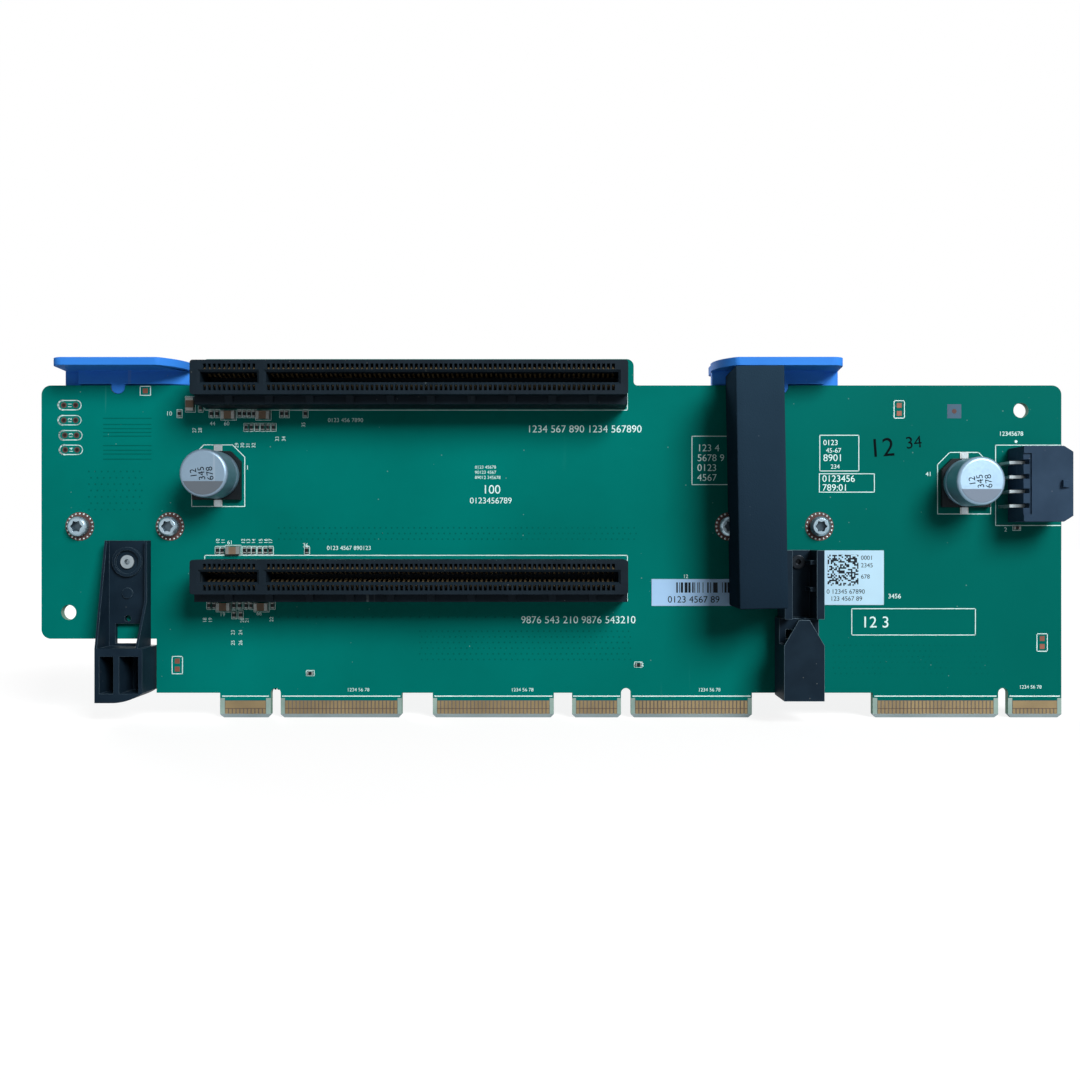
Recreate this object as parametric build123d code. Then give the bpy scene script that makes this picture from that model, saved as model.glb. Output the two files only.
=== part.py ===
from build123d import *

import os

# Riser card of a server, standing on its edge: X along the board, Z up, slots facing -Y.
# The origin lies at mid-length, in the board's mid-plane, at the foot of the edge tongues.
# Heights are distances in front of the board's front face, negative behind it. All in mm.

# Circuit board, as long as what it carries: slots, tongues, guides and the overhang on the left
board_thickness = 1.57
board_top = 70.7
tongue_drop = 5.3
board_corner = 2.0
left_overhang = 35.2
tab_left_margin = 1.3
tab_right_margin = 1.8
tab_rise = 5.6
tab_corner = 1.5
inner_corner = 0.8
locating_hole_radius = 1.6
right_hole_inset = 8.6
right_hole_z = 65.4
left_hole_inset = 5.8
left_hole_z = 22.4

# Edge tongues, chained from the left one, which lies at this distance from the slots' middle
first_tongue_reach = 41.7
short_tongue = 10.8
middle_tongue = 10.4
long_tongue = 25.75
wider_tongue = 26.7
end_tongue = 11.35
key_width = 2.1
key_rise = 1.0
key_gap_limit = 3.0
second_gap = 6.6
third_gap = 3.9
tongue_chamfer = 0.7
bevel_height = 0.8
bevel_depth = 0.45

# Gold fingers
finger_pitch = 0.8
finger_width = 0.55
finger_low = 0.85
finger_high = 3.6
finger_tip = 1.05
finger_break = 0.15
finger_thickness = 0.05
finger_margin = 1.1

# Card slots
slot_x = -28.8
lower_slot_z = 30.3
slot_spacing = 40.64
slot_length = 89.0
slot_width = 7.0
slot_height = 11.25
slot_corner = 0.6
ledge_width = 1.7
ledge_height = 8.3
mouth_width = 2.1
mouth_depth = 8.2
mouth_chamfer = 0.45
mouth_end = 1.05
key_rib = 1.8
window_pitch = 1.0
window_width = 0.62
window_height = 1.15
window_depth = 2.4
window_row = 2.15
short_windows = 11
long_windows = 71
key_pitch = 3.0
rib_count = 10
rib_pitch = 8.3
rib_width = 1.6
rib_rise = 0.7

# Capacitors
can_radius = 5.0
can_height = 10.2
can_rim = 0.5
can_neck_radius = 4.6
can_neck_height = 3.1
can_neck_width = 0.7
cap_base_side = 10.3
cap_base_height = 1.3
cap_base_chamfer = 2.2
cap_lead_width = 1.2
cap_lead_reach = 6.6
cap_lead_inner = 1.6
cap_lead_thickness = 0.25
left_cap_inset = 2.4
left_cap_z = 51.5
right_cap_inset = 20.7
right_cap_z = 49.9

# Power socket
socket_mouth_inset = 1.2
socket_depth = 10.2
socket_width = 15.6
socket_height = 8.5
socket_z = 49.4
socket_corner_x = 1.9
socket_corner_z = 1.2
socket_step_depth = 1.6
socket_step_width = 12.6
socket_step_drop = 0.35
socket_slit_depth = 1.25
socket_slit_width = 0.9
socket_pitch = 3.0
socket_columns = 4
chamber_side = 2.4
chamber_depth = 8.4
lower_row_height = 2.6
pin_side = 0.64
pin_recess = 2.0
upper_pin_reach = 1.65
lower_pin_reach = 0.55
pin_tail = 1.3
pin_hole_clearance = 0.06
latch_length = 1.8
latch_width = 1.5
latch_rise = 0.9
latch_setback = 0.7

# Handles, measured outwards from the middle of each pair of screws
left_handle_reach = 17.45
right_handle_shift = 0.1
body_shift = 0.3
screw_spacing = 19.2
screw_z = 40.7
grip_rise = 3.2
grip_thickness = 1.7
grip_front = 7.5
grip_rear = 9.0
grip_outer_inset = 0.85
grip_inner_margin = 3.7
grip_corner = 2.4
grip_rear_corner = 3.0
grip_sweep_x = 4.1
grip_sweep_y = 11.5
web_outer_margin = 4.0
web_thickness = 2.4
web_below_screws = 5.1
web_corner = 4.0
web_rib_width = 1.4
web_rib_depth = 3.4
shoulder_outer_inset = 3.3
shoulder_inner_inset = 4.8
shoulder_gap = 0.3
peg_offset = 1.5
peg_radius = 1.45
peg_drop = 0.3
peg_clearance = 0.1
boss_radius = 3.6
boss_depth = 3.6

# Screws and inserts
screw_head_radius = 2.1
screw_head_height = 1.9
screw_head_chamfer = 0.45
screw_shank_radius = 1.2
screw_length = 5.6
screw_hole_clearance = 0.35
drive_outer = 1.3
drive_inner = 0.95
drive_depth = 1.1
drive_points = 12
insert_radius = 2.0
insert_length = 4.6
insert_clearance = 0.05

# Left guide
guide_floor = 1.2
left_guide_reach = 20.8
left_guide_width = 8.9
left_guide_top = 37.7
left_guide_low = 4.2
left_guide_wall = 0.5
left_guide_box_wall = 1.0
left_guide_box_top = 15.4
left_guide_box_height = 7.65
left_guide_rise_start = 2.4
left_guide_right_rise_z = 25.0
left_guide_cavity_low = 1.9
left_guide_cavity_high = 1.6
left_guide_divider_inset = 4.5
left_guide_divider = 1.2
left_guide_flange = 0.8
left_guide_lip = 0.5
left_guide_sweep_run = 6.3
left_guide_sweep_rise = 2.0
left_guide_hole_radius = 0.7
left_guide_hole_z = 21.2
left_guide_stud_radius = 1.1
left_guide_stud_rise = 0.35
left_guide_stud_z = 26.6
left_guide_window_left_inset = 1.8
left_guide_window_right_inset = 2.0
left_guide_window_high = 20.1
rivet_z = 33.2
rivet_ring_radius = 3.1
rivet_ring_width = 0.6
rivet_ring_rise = 0.7
step_margin = 1.2
step_z = 16.8

# Right guide, clear of the serial label and of the tongues on both sides
right_guide_left_gap = 4.85
right_guide_right_gap = 12.05
right_guide_width = 8.8
right_guide_top = 35.7
right_guide_low = 4.95
right_guide_wall = 1.6
right_guide_inset = 0.6
right_guide_wall_height = 8.0
right_guide_channel_low = 21.5
stub_length = 0.95
stub_width = 0.8
stub_height = 6.5
stub_z = 27.6
prow_right_inset = 0.55
prow_height = 10.4
prow_eave_z = 16.3
prow_ridge = 2.2
prow_plate = 1.0
neck_height = 5.0
neck_window_inset = 1.4
neck_window_width = 2.7
neck_window_height = 2.4
plug_inset = 0.4
guide_notch_clearance = 0.25

# Rivets
rivet_radius = 1.0
rivet_head_radius = 1.45
rivet_head_height = 0.5
rivet_bore_radius = 0.55
rivet_bore_depth = 1.2
rivet_hole_clearance = 0.1

# Foam block, to the left of the right handle's middle
foam_shift = 5.1
foam_z = 48.4
foam_width = 9.8
foam_height = 48.8
foam_thickness = 14.4
foam_lean = 1.0
foam_seat = 0.12
foam_pocket_clearance = 0.4

# Labels, by their gaps to the slots and the right guide
label_thickness = 0.1
serial_left_gap = 5.6
serial_right_gap = 8.0
serial_width = 18.2
serial_low = 23.8
serial_high = 29.5
square_gap = 1.8
square_width = 12.6
square_low = 24.0
square_high = 35.6

# Chips: rows by their gaps to the slots, places along a row from the slots' left end
small_chip = (0.55, 1.15, 0.4)
large_chip = (2.8, 1.6, 0.9)
upper_row_gap = 1.05
second_row_gap = 2.9
over_row_gap = 1.8
lower_row_gap = 1.2
third_row_gap = 2.0
large_chip_drop = 0.3
upper_row = (1.0, 2.2, 7.0, 8.0, 9.0, 10.0, 16.0, 17.0, 21.0)
second_row = (8.4, 9.5, 10.7, 11.9, 13.0, 14.2)
over_row = (2.3, 3.3, 8.1, 9.0, 10.0, 11.3, 12.5, 13.6, 21.3)
lower_row = (0.5, 1.6, 5.8, 7.0, 8.4, 9.4, 14.0)
third_row = (5.8, 7.2)
large_upper_row = (4.6, 12.0)
large_over_row = (5.6,)
large_lower_row = (3.6, 11.6)
near_chip_gap = 1.3
near_chip_rise = 1.2
far_chip_gap = 5.8
end_chip_gap = 3.5
end_chip_rise = 2.0
tongue_chip_inset = 1.6
tongue_chip_z = 11.3
key_chip_inset = 6.3
key_chip_z = 9.5
socket_chip_inset = 9.5
socket_chip_z = 40.4


def chained(left, steps):
    """Left and right ends of tongues in a row, each followed by a gap."""
    spans = []
    for width, gap in steps:
        spans.append((left, left + width))
        left += width + gap
    return spans


# Derived places along the board
slot_left = slot_x - slot_length / 2
slot_right = slot_x + slot_length / 2
left_steps = [
    (short_tongue, key_width),
    (long_tongue, second_gap),
    (long_tongue, third_gap),
    (middle_tongue, key_width),
    (long_tongue, 0.0),
]
left_tongues = chained(slot_x - first_tongue_reach, left_steps)
label_room = serial_left_gap + serial_width + serial_right_gap
right_guide_left = max(slot_right + label_room, left_tongues[-1][1] + right_guide_left_gap)
right_guide_right = right_guide_left + right_guide_width
prow_right = right_guide_right - prow_right_inset
plug_left = right_guide_left + plug_inset
plug_right = prow_right - plug_inset
right_steps = [(wider_tongue, key_width), (end_tongue, 0.0)]
right_tongues = chained(right_guide_right + right_guide_right_gap, right_steps)
tongue_spans = left_tongues + right_tongues
board_left = slot_left - left_overhang
board_right = tongue_spans[-1][1]
board_length = board_right - board_left
tab_left = slot_left - tab_left_margin
tab_right = slot_right + tab_right_margin
left_hole_x = board_left + left_hole_inset
right_hole_x = board_right - right_hole_inset
left_guide_left = slot_left - left_guide_reach
left_guide_right = left_guide_left + left_guide_width
step_x = left_guide_right + step_margin
left_handle_x = slot_left - left_handle_reach
right_handle_x = right_guide_left - right_handle_shift
foam_x = right_handle_x - foam_shift
left_cap_x = slot_left + left_cap_inset
right_cap_x = board_right - right_cap_inset
socket_mouth_x = board_right - socket_mouth_inset
socket_back_x = socket_mouth_x - socket_depth
serial_left = slot_right + serial_left_gap
serial_right = serial_left + serial_width
square_left = right_guide_right + square_gap

# Derived levels and sizes
face = board_thickness / 2
tab_top = board_top + tab_rise
grip_low = board_top + grip_rise
upper_slot_z = lower_slot_z + slot_spacing
slot_drop = slot_width / 2 + ledge_width
screw_sides = (-screw_spacing / 2, screw_spacing / 2)
web_outer = screw_spacing / 2 + web_outer_margin
web_low = screw_z - web_below_screws
grip_outer = web_outer - grip_outer_inset
grip_inner = screw_spacing / 2 + grip_inner_margin
shoulder_outer = web_outer - shoulder_outer_inset
shoulder_inner = grip_inner - shoulder_inner_inset
handle_middles = (left_handle_x, right_handle_x)
screw_places = [(x + side, screw_z) for x in handle_middles for side in screw_sides]
screw_hole_radius = screw_shank_radius + screw_hole_clearance
left_rivet_x = (left_guide_left + left_guide_right) / 2
right_rivet_x = (right_guide_left + right_guide_inset + right_guide_right) / 2
rivet_places = [(left_rivet_x, rivet_z), (right_rivet_x, rivet_z)]
rivet_hole_radius = rivet_radius + rivet_hole_clearance
peg_places = (left_handle_x - peg_offset, right_handle_x + peg_offset)
notch_radius = peg_radius + peg_clearance
upper_row_height = lower_row_height + socket_pitch
upper_tail_x = socket_back_x - upper_pin_reach
lower_tail_x = socket_back_x - lower_pin_reach
pin_hole_side = pin_side + 2 * pin_hole_clearance
column_places = [
    socket_z + socket_pitch * (i - (socket_columns - 1) / 2) for i in range(socket_columns)
]


def out(profile, low, high):
    """Solid of an X-Z profile between two heights over the board's front face."""
    return extrude(Plane.XZ.offset(face + low) * profile, high - low)


def rectangle(left, right, low, high):
    """X-Z rectangle by its edges."""
    middle = Pos((left + right) / 2, (low + high) / 2)
    return middle * Rectangle(right - left, high - low)


def slab(left, right, low, high, floor, top):
    """Block by its X, Z and height limits."""
    return out(rectangle(left, right, low, high), floor, top)


def post(x, z, radius, floor, top):
    """Round post that stands on the board."""
    return out(Pos(x, z) * Circle(radius), floor, top)


def on_front(x, z, height=0.0):
    """Plane on the board's front, with its own z pointing out of the board."""
    return Plane(origin=(x, -face - height, z), x_dir=(1, 0, 0), z_dir=(0, -1, 0))


def corners(profile, places):
    """Vertices of a flat profile nearest to the given places."""
    found = []
    for x, z in places:
        found.append(profile.vertices().sort_by_distance((x, z, 0))[0])
    return found


def write(name, *solids):
    """One STEP file for one node."""
    shape = solids[0] if len(solids) == 1 else Compound(children=list(solids))
    export_step(shape, f"parts/{name}.step")


def circuit_board():
    """Laminate with its tab, tongues, key slots, notches and holes."""
    body_low = tongue_drop
    notch_left = plug_left - guide_notch_clearance
    notch_right = plug_right + guide_notch_clearance
    outline = rectangle(board_left, board_right, body_low, board_top)
    outline += rectangle(tab_left, tab_right, board_top, tab_top)
    outline -= rectangle(board_left, step_x, body_low, step_z)
    outline -= rectangle(notch_left, notch_right, body_low, step_z)
    for left, right in tongue_spans:
        outline += rectangle(left, right, 0, body_low)
    round_tops = [(board_left, board_top), (board_right, board_top), (board_left, step_z)]
    outline = fillet(corners(outline, round_tops), board_corner)
    outline = fillet(corners(outline, [(tab_left, tab_top), (tab_right, tab_top)]), tab_corner)
    outline = fillet(corners(outline, [(tab_left, board_top), (tab_right, board_top)]), inner_corner)
    feet = [(x, 0) for span in tongue_spans for x in span]
    outline = chamfer(corners(outline, feet), tongue_chamfer)
    for (_, right), (left, _) in zip(tongue_spans, tongue_spans[1:]):
        if left - right < key_gap_limit:
            key_top = body_low + key_rise - key_width / 2
            outline -= rectangle(right, left, 0, key_top)
            outline -= Pos((left + right) / 2, key_top) * Circle(key_width / 2)
    for x in peg_places:
        outline -= Pos(x, board_top - peg_drop) * Circle(notch_radius)
        outline -= rectangle(x - notch_radius, x + notch_radius, board_top - peg_drop, board_top)
    holes = [
        (right_hole_x, right_hole_z, locating_hole_radius),
        (left_hole_x, left_hole_z, locating_hole_radius),
    ]
    holes += [(x, z, screw_hole_radius) for x, z in screw_places]
    holes += [(x, z, rivet_hole_radius) for x, z in rivet_places]
    outline -= [Pos(x, z) * Circle(radius) for x, z, radius in holes]
    tails = [(x, z) for x in (upper_tail_x, lower_tail_x) for z in column_places]
    outline -= [Pos(x, z) * Rectangle(pin_hole_side, pin_hole_side) for x, z in tails]
    board = out(outline, -board_thickness, 0)
    for side in (-1, 1):
        wedge = Polyline(
            (side * face, 0), (side * face, bevel_height), (side * (face - bevel_depth), 0), close=True
        )
        board -= extrude(Plane.YZ * make_face(wedge), board_length, both=True)
    return board


def edge_fingers(floor, top):
    """Contact pads on one face of the tongues; the end tongues share one wide pad above the tips."""
    pads = []
    end_tongues = (tongue_spans[0], tongue_spans[-1])
    for span in tongue_spans:
        left, right = span
        middle = (left + right) / 2
        joined = span in end_tongues
        high = finger_low + finger_tip if joined else finger_high
        steps = int((right - left - 2 * finger_margin) / finger_pitch)
        first = middle - finger_pitch * steps / 2
        for number in range(steps + 1):
            x = first + finger_pitch * number
            pads.append(slab(x - finger_width / 2, x + finger_width / 2, finger_low, high, floor, top))
        if joined:
            ends = (first - finger_width / 2, middle * 2 - first + finger_width / 2)
            pads.append(slab(*ends, high + finger_break, finger_high, floor, top))
    return pads


def slot_housing(z):
    """Slot moulding: ledge below, keyed mouth with a lead-in, a contact window for every contact."""
    low = z - slot_width / 2
    block = rectangle(slot_left, slot_right, low, z + slot_width / 2)
    block = fillet(block.vertices(), slot_corner)
    housing = out(block, 0, slot_height)
    housing += slab(slot_left, slot_right, z - slot_drop, low + slot_corner, 0, ledge_height)
    for number in range(rib_count):
        x = slot_x + rib_pitch * (number - (rib_count - 1) / 2)
        rib = Polyline(
            (low, ledge_height), (low - ledge_width, ledge_height), (low, ledge_height + rib_rise), close=True
        )
        rib_plane = Plane(origin=(x - rib_width / 2, -face, 0), x_dir=(0, 0, 1), z_dir=(1, 0, 0))
        housing += extrude(rib_plane * make_face(rib), rib_width)

    row_length = window_pitch * (short_windows + long_windows - 2) + key_pitch
    first = slot_x - row_length / 2
    key_x = first + window_pitch * (short_windows - 1) + key_pitch / 2
    last = first + row_length
    for mouth_left, mouth_right in (
        (first - mouth_end, key_x - key_rib / 2),
        (key_x + key_rib / 2, last + mouth_end),
    ):
        mouth = rectangle(mouth_left, mouth_right, z - mouth_width / 2, z + mouth_width / 2)
        housing -= out(mouth, slot_height - mouth_depth, slot_height)
        lead_in = Plane.XZ.offset(face + slot_height - mouth_chamfer) * mouth
        housing -= extrude(lead_in, mouth_chamfer, taper=-45)

    places = [first + window_pitch * i for i in range(short_windows)]
    places += [last - window_pitch * i for i in range(long_windows)]
    windows = []
    for x in places:
        for row in (z - window_row, z + window_row):
            window = Pos(x, row) * Rectangle(window_width, window_height)
            windows.append(out(window, slot_height - window_depth, slot_height))
    return housing - windows


def capacitor_base(x, z):
    """Base plate of a capacitor with its two marked corners cut off."""
    half = cap_base_side / 2
    base = rectangle(x - half, x + half, z - half, z + half)
    base = chamfer(corners(base, [(x - half, z + half), (x + half, z + half)]), cap_base_chamfer)
    return out(base, cap_lead_thickness, cap_lead_thickness + cap_base_height)


def capacitor_can(x, z):
    """Drawn can with a bevelled rim and a rolled neck above its base plate."""
    low = cap_lead_thickness + cap_base_height
    neck_low = can_neck_height - can_neck_width / 2
    neck_high = can_neck_height + can_neck_width / 2
    line = Polyline(
        (0, low),
        (can_radius, low),
        (can_radius, neck_low),
        (can_neck_radius, can_neck_height),
        (can_radius, neck_high),
        (can_radius, can_height),
        (0, can_height),
        close=True,
    )
    section = make_face(line)
    section = chamfer(corners(section, [(can_radius, can_height)]), can_rim)
    can = revolve(Plane.XZ * section, Axis.Z)
    return on_front(x, z) * can


def capacitor_leads(x, z):
    """Two flat leads that come out from under the base plate."""
    half = cap_lead_width / 2
    upper = slab(x - half, x + half, z + cap_lead_inner, z + cap_lead_reach, 0, cap_lead_thickness)
    lower = slab(x - half, x + half, z - cap_lead_reach, z - cap_lead_inner, 0, cap_lead_thickness)
    return upper, lower


def power_socket():
    """Right-angle socket body: chambers open at the board's end, slits for the pins at its back."""
    low = socket_z - socket_width / 2
    high = socket_z + socket_width / 2
    body = rectangle(socket_back_x, socket_mouth_x, low, high)
    for z in (low, high):
        edge = -socket_corner_z if z == high else socket_corner_z
        cut = Polyline(
            (socket_mouth_x, z), (socket_mouth_x - socket_corner_x, z), (socket_mouth_x, z + edge), close=True
        )
        body -= make_face(cut)
    socket = out(body, 0, socket_height)
    step_low = socket_z - socket_step_width / 2
    step_high = socket_z + socket_step_width / 2
    step_right = socket_back_x + socket_step_depth
    step_floor = socket_height - socket_step_drop
    socket -= slab(socket_back_x, step_right, step_low, step_high, step_floor, socket_height)
    half = chamber_side / 2
    hole = pin_side / 2 + pin_hole_clearance
    slit_right = socket_back_x + socket_slit_depth
    chamber_x = socket_mouth_x - chamber_depth
    for z in column_places:
        for row in (lower_row_height, upper_row_height):
            socket -= slab(chamber_x, socket_mouth_x, z - half, z + half, row - half, row + half)
            socket -= slab(socket_back_x, chamber_x, z - hole, z + hole, row - hole, row + hole)
        slit = (z - socket_slit_width / 2, z + socket_slit_width / 2)
        socket -= slab(socket_back_x, slit_right, *slit, upper_row_height, socket_height)
    latch_x = socket_mouth_x - latch_setback
    ramp = Polyline(
        (latch_x, -face - socket_height),
        (latch_x - latch_length, -face - socket_height),
        (latch_x - latch_length, -face - socket_height - latch_rise),
        close=True,
    )
    ramp_face = Plane.XY.offset(socket_z - latch_width / 2) * make_face(ramp)
    return socket + extrude(ramp_face, latch_width)


def power_pins():
    """Square pins: along the chamber, then down through the board."""
    half = pin_side / 2
    pin_end = socket_mouth_x - pin_recess
    pins = []
    for z in column_places:
        for row, tail_x in ((lower_row_height, lower_tail_x), (upper_row_height, upper_tail_x)):
            pin = slab(tail_x - half, pin_end, z - half, z + half, row - half, row + half)
            pin += slab(tail_x - half, tail_x + half, z - half, z + half, -board_thickness - pin_tail, row)
            pins.append(pin)
    return pins


def handle(middle, outward):
    """Lifting handle: grip over the board's top edge, web behind the board, screw bosses on the web."""

    def along(distance):
        return middle + body_shift + outward * distance

    def across(first, second):
        return sorted((along(first), along(second)))

    back = -board_thickness
    web_back = back - web_thickness
    web_left, web_right = across(-grip_inner, web_outer)
    front_y = -face - grip_front
    rear_y = face + grip_rear
    sweep_start = (along(-grip_inner + grip_sweep_x), front_y)
    sweep_end = (along(-grip_inner), front_y + grip_sweep_y)
    sweep_middle = (
        along(-grip_inner + grip_sweep_x * (1 - 0.5**0.5)),
        front_y + grip_sweep_y * (1 - 0.5**0.5),
    )
    plan = make_face(
        ThreePointArc(sweep_start, sweep_middle, sweep_end)
        + Polyline(
            sweep_end,
            (along(-grip_inner), rear_y),
            (along(web_outer), rear_y),
            (along(web_outer), face),
            (along(grip_outer), front_y),
            sweep_start,
        )
    )
    plan = fillet(corners(plan, [(along(grip_outer), front_y)]), grip_corner)
    rear_corners = [(along(-grip_inner), rear_y), (along(web_outer), rear_y)]
    plan = fillet(corners(plan, rear_corners), grip_rear_corner)
    grip = extrude(Plane.XY.offset(grip_low) * plan, grip_thickness)

    web_outline = rectangle(web_left, web_right, web_low, grip_low)
    web_outline = fillet(corners(web_outline, [(web_left, web_low), (web_right, web_low)]), web_corner)
    body = grip + out(web_outline, web_back, back)

    shoulder_low = board_top + shoulder_gap
    shoulder_plan = Polyline(
        (along(shoulder_outer), -face),
        (along(-shoulder_inner), -face),
        (along(-grip_inner), face),
        (along(shoulder_outer), face),
        close=True,
    )
    body += extrude(Plane.XY.offset(shoulder_low) * make_face(shoulder_plan), grip_low - shoulder_low)

    peg_x = middle + outward * peg_offset
    peg_z = board_top - peg_drop
    body += post(peg_x, peg_z, peg_radius, back, 0)
    body += slab(peg_x - peg_radius, peg_x + peg_radius, peg_z, shoulder_low, back, 0)

    for side in screw_sides:
        body += post(middle + side, screw_z, boss_radius, web_back - boss_depth, web_back)
        rib = rectangle(
            middle + side - web_rib_width / 2, middle + side + web_rib_width / 2, screw_z, grip_low
        )
        body += out(rib, web_back - web_rib_depth, web_back)
    pocket_radius = insert_radius + insert_clearance
    for side in screw_sides:
        body -= post(middle + side, screw_z, pocket_radius, back - insert_length, back)
        tip = -screw_length - screw_hole_clearance
        body -= post(middle + side, screw_z, screw_hole_radius, tip, back)
    return body


def screw(x, z):
    """Pan-head screw with a star-drive socket in its head."""
    head = Cylinder(screw_head_radius, screw_head_height, align=(Align.CENTER, Align.CENTER, Align.MIN))
    head = chamfer(head.edges().sort_by(Axis.Z)[-1], screw_head_chamfer)
    star = [
        Vector(drive_inner if number % 2 else drive_outer, 0).rotate(Axis.Z, 360 / drive_points * number)
        for number in range(drive_points)
    ]
    socket = make_face(Polyline(*star, close=True))
    head -= extrude(Pos(0, 0, screw_head_height - drive_depth) * socket, drive_depth)
    shank = Cylinder(screw_shank_radius, screw_length, align=(Align.CENTER, Align.CENTER, Align.MAX))
    return on_front(x, z) * (head + shank)


def threaded_insert(x, z):
    """Plain bush of a threaded insert, sunk in the handle behind the board."""
    back = -board_thickness
    bush = post(x, z, insert_radius, back - insert_length, back)
    bore = screw_shank_radius + insert_clearance
    return bush - post(x, z, bore, back - insert_length, back)


def wall(left, right, outline):
    """Upright wall along Z: an outline of Z and height, extruded from one X to another."""
    side = Plane(origin=(left, -face, 0), x_dir=(0, 0, 1), z_dir=(1, 0, 0))
    return extrude(side * make_face(Polyline(*outline, close=True)), right - left)


def left_guide():
    """Tray on the board whose walls rise to a box below the board's corner, with two cavities."""
    left = left_guide_left
    right = left_guide_right
    top = left_guide_top
    box_top = left_guide_box_top
    box_right = step_x - guide_notch_clearance
    rim = left_guide_box_height
    start = left_guide_rise_start
    guide = slab(left, right, box_top, top, 0, guide_floor)
    left_side = [(top, 0), (top, start), (box_top, rim), (box_top, 0)]
    right_side = [(top, 0), (top, start), (left_guide_right_rise_z, start), (box_top, rim), (box_top, 0)]
    guide += wall(left, left + left_guide_wall, left_side)
    guide += wall(right - left_guide_wall, right, right_side)
    sweep_start = (box_right - left_guide_sweep_run, left_guide_low)
    sweep_end = (box_right, left_guide_low + left_guide_sweep_rise)
    box_outline = make_face(
        TangentArc(sweep_start, sweep_end, tangent=(1, 0))
        + Polyline(sweep_end, (box_right, box_top), (left, box_top), (left, left_guide_low), sweep_start)
    )
    guide += out(box_outline, -board_thickness, rim)
    cavity_low = left_guide_low + left_guide_cavity_low
    cavity_high = box_top - left_guide_cavity_high
    divider_x = left + left_guide_divider_inset
    spans = (
        (left + left_guide_box_wall, divider_x - left_guide_divider / 2),
        (divider_x + left_guide_divider / 2, box_right - left_guide_flange),
    )
    for cavity_left, cavity_right in spans:
        guide -= slab(cavity_left, cavity_right, cavity_low, cavity_high, 0, rim)
    window_left = left + left_guide_window_left_inset
    window_right = right - left_guide_window_right_inset
    window_low = box_top + left_guide_lip
    guide -= slab(window_left, window_right, window_low, left_guide_window_high, 0, guide_floor)
    ring = post(left_rivet_x, rivet_z, rivet_ring_radius, guide_floor, guide_floor + rivet_ring_rise)
    ring_bore = rivet_ring_radius - rivet_ring_width
    ring -= post(left_rivet_x, rivet_z, ring_bore, guide_floor, guide_floor + rivet_ring_rise)
    guide += ring
    stud_top = guide_floor + left_guide_stud_rise
    guide += post(left_rivet_x, left_guide_stud_z, left_guide_stud_radius, guide_floor, stud_top)
    guide -= post(left_rivet_x, left_guide_hole_z, left_guide_hole_radius, 0, guide_floor)
    return guide - post(left_rivet_x, rivet_z, rivet_hole_radius, 0, guide_floor)


def right_guide():
    """Channel on the board, joined by a neck to a prow that covers the board's notch."""
    left = right_guide_left
    right = right_guide_right
    inner = left + right_guide_inset
    join = right_guide_channel_low
    rim = right_guide_wall_height
    guide = slab(inner, right, join, right_guide_top, 0, guide_floor)
    guide += slab(inner, inner + right_guide_wall, join, right_guide_top, 0, rim)
    wall_face = right - right_guide_wall
    guide += slab(wall_face, right, join, right_guide_top, 0, rim)
    for z in (stub_z, rivet_z):
        stub = (z - stub_width / 2, z + stub_width / 2)
        guide += slab(wall_face - stub_length, wall_face, *stub, guide_floor, stub_height)

    guide += slab(left, prow_right, right_guide_low, prow_eave_z, 0, prow_height)
    guide += slab(plug_left, plug_right, right_guide_low, step_z - guide_notch_clearance, -board_thickness, 0)
    neck = slab(left, prow_right, prow_eave_z, join, 0, neck_height)
    window_left = left + neck_window_inset
    window_right = window_left + neck_window_width
    neck -= slab(window_left, window_right, step_z, step_z + neck_window_height, 0, neck_height)
    guide += neck
    ridge = (left + prow_right) / 2
    right_slope = [(prow_right, prow_eave_z), (ridge + prow_ridge / 2, join)]
    core = Polyline(*right_slope, (window_right, join), (window_right, prow_eave_z), close=True)
    guide += out(make_face(core), neck_height, prow_height - prow_plate)
    roof = Polyline(*right_slope, (ridge - prow_ridge / 2, join), (left, prow_eave_z), close=True)
    guide += out(make_face(roof), prow_height - prow_plate, prow_height)
    return guide - post(right_rivet_x, rivet_z, rivet_hole_radius, 0, guide_floor)


def rivet(x, z):
    """Tubular rivet through a guide's floor and the board."""
    shank = post(x, z, rivet_radius, -board_thickness, guide_floor)
    front_head = post(x, z, rivet_head_radius, guide_floor, guide_floor + rivet_head_height)
    back_head = post(x, z, rivet_head_radius, -board_thickness - rivet_head_height, -board_thickness)
    mouth = guide_floor + rivet_head_height
    return shank + front_head + back_head - post(x, z, rivet_bore_radius, mouth - rivet_bore_depth, mouth)


def foam_block():
    """Foam spacer, stuck on a little askew, with room for the screw head under it."""
    block = Box(foam_width, foam_thickness - foam_seat, foam_height)
    middle = -face - (foam_thickness + foam_seat) / 2
    foam = Pos(foam_x, middle, foam_z) * Rot(0, -foam_lean, 0) * block
    pocket_radius = screw_head_radius + foam_pocket_clearance
    pocket_top = screw_head_height + foam_pocket_clearance
    for x, z in screw_places:
        foam -= post(x, z, pocket_radius, 0, pocket_top)
    return foam


def chip(x, z, size, upright=True):
    """Small chip part on the board."""
    width, height, rise = size
    if not upright:
        width, height = height, width
    return slab(x - width / 2, x + width / 2, z - height / 2, z + height / 2, 0, rise)


def chip_row(z, places, size):
    """Chips in one row, placed from the slots' left end."""
    return [chip(slot_left + place, z, size) for place in places]


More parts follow.
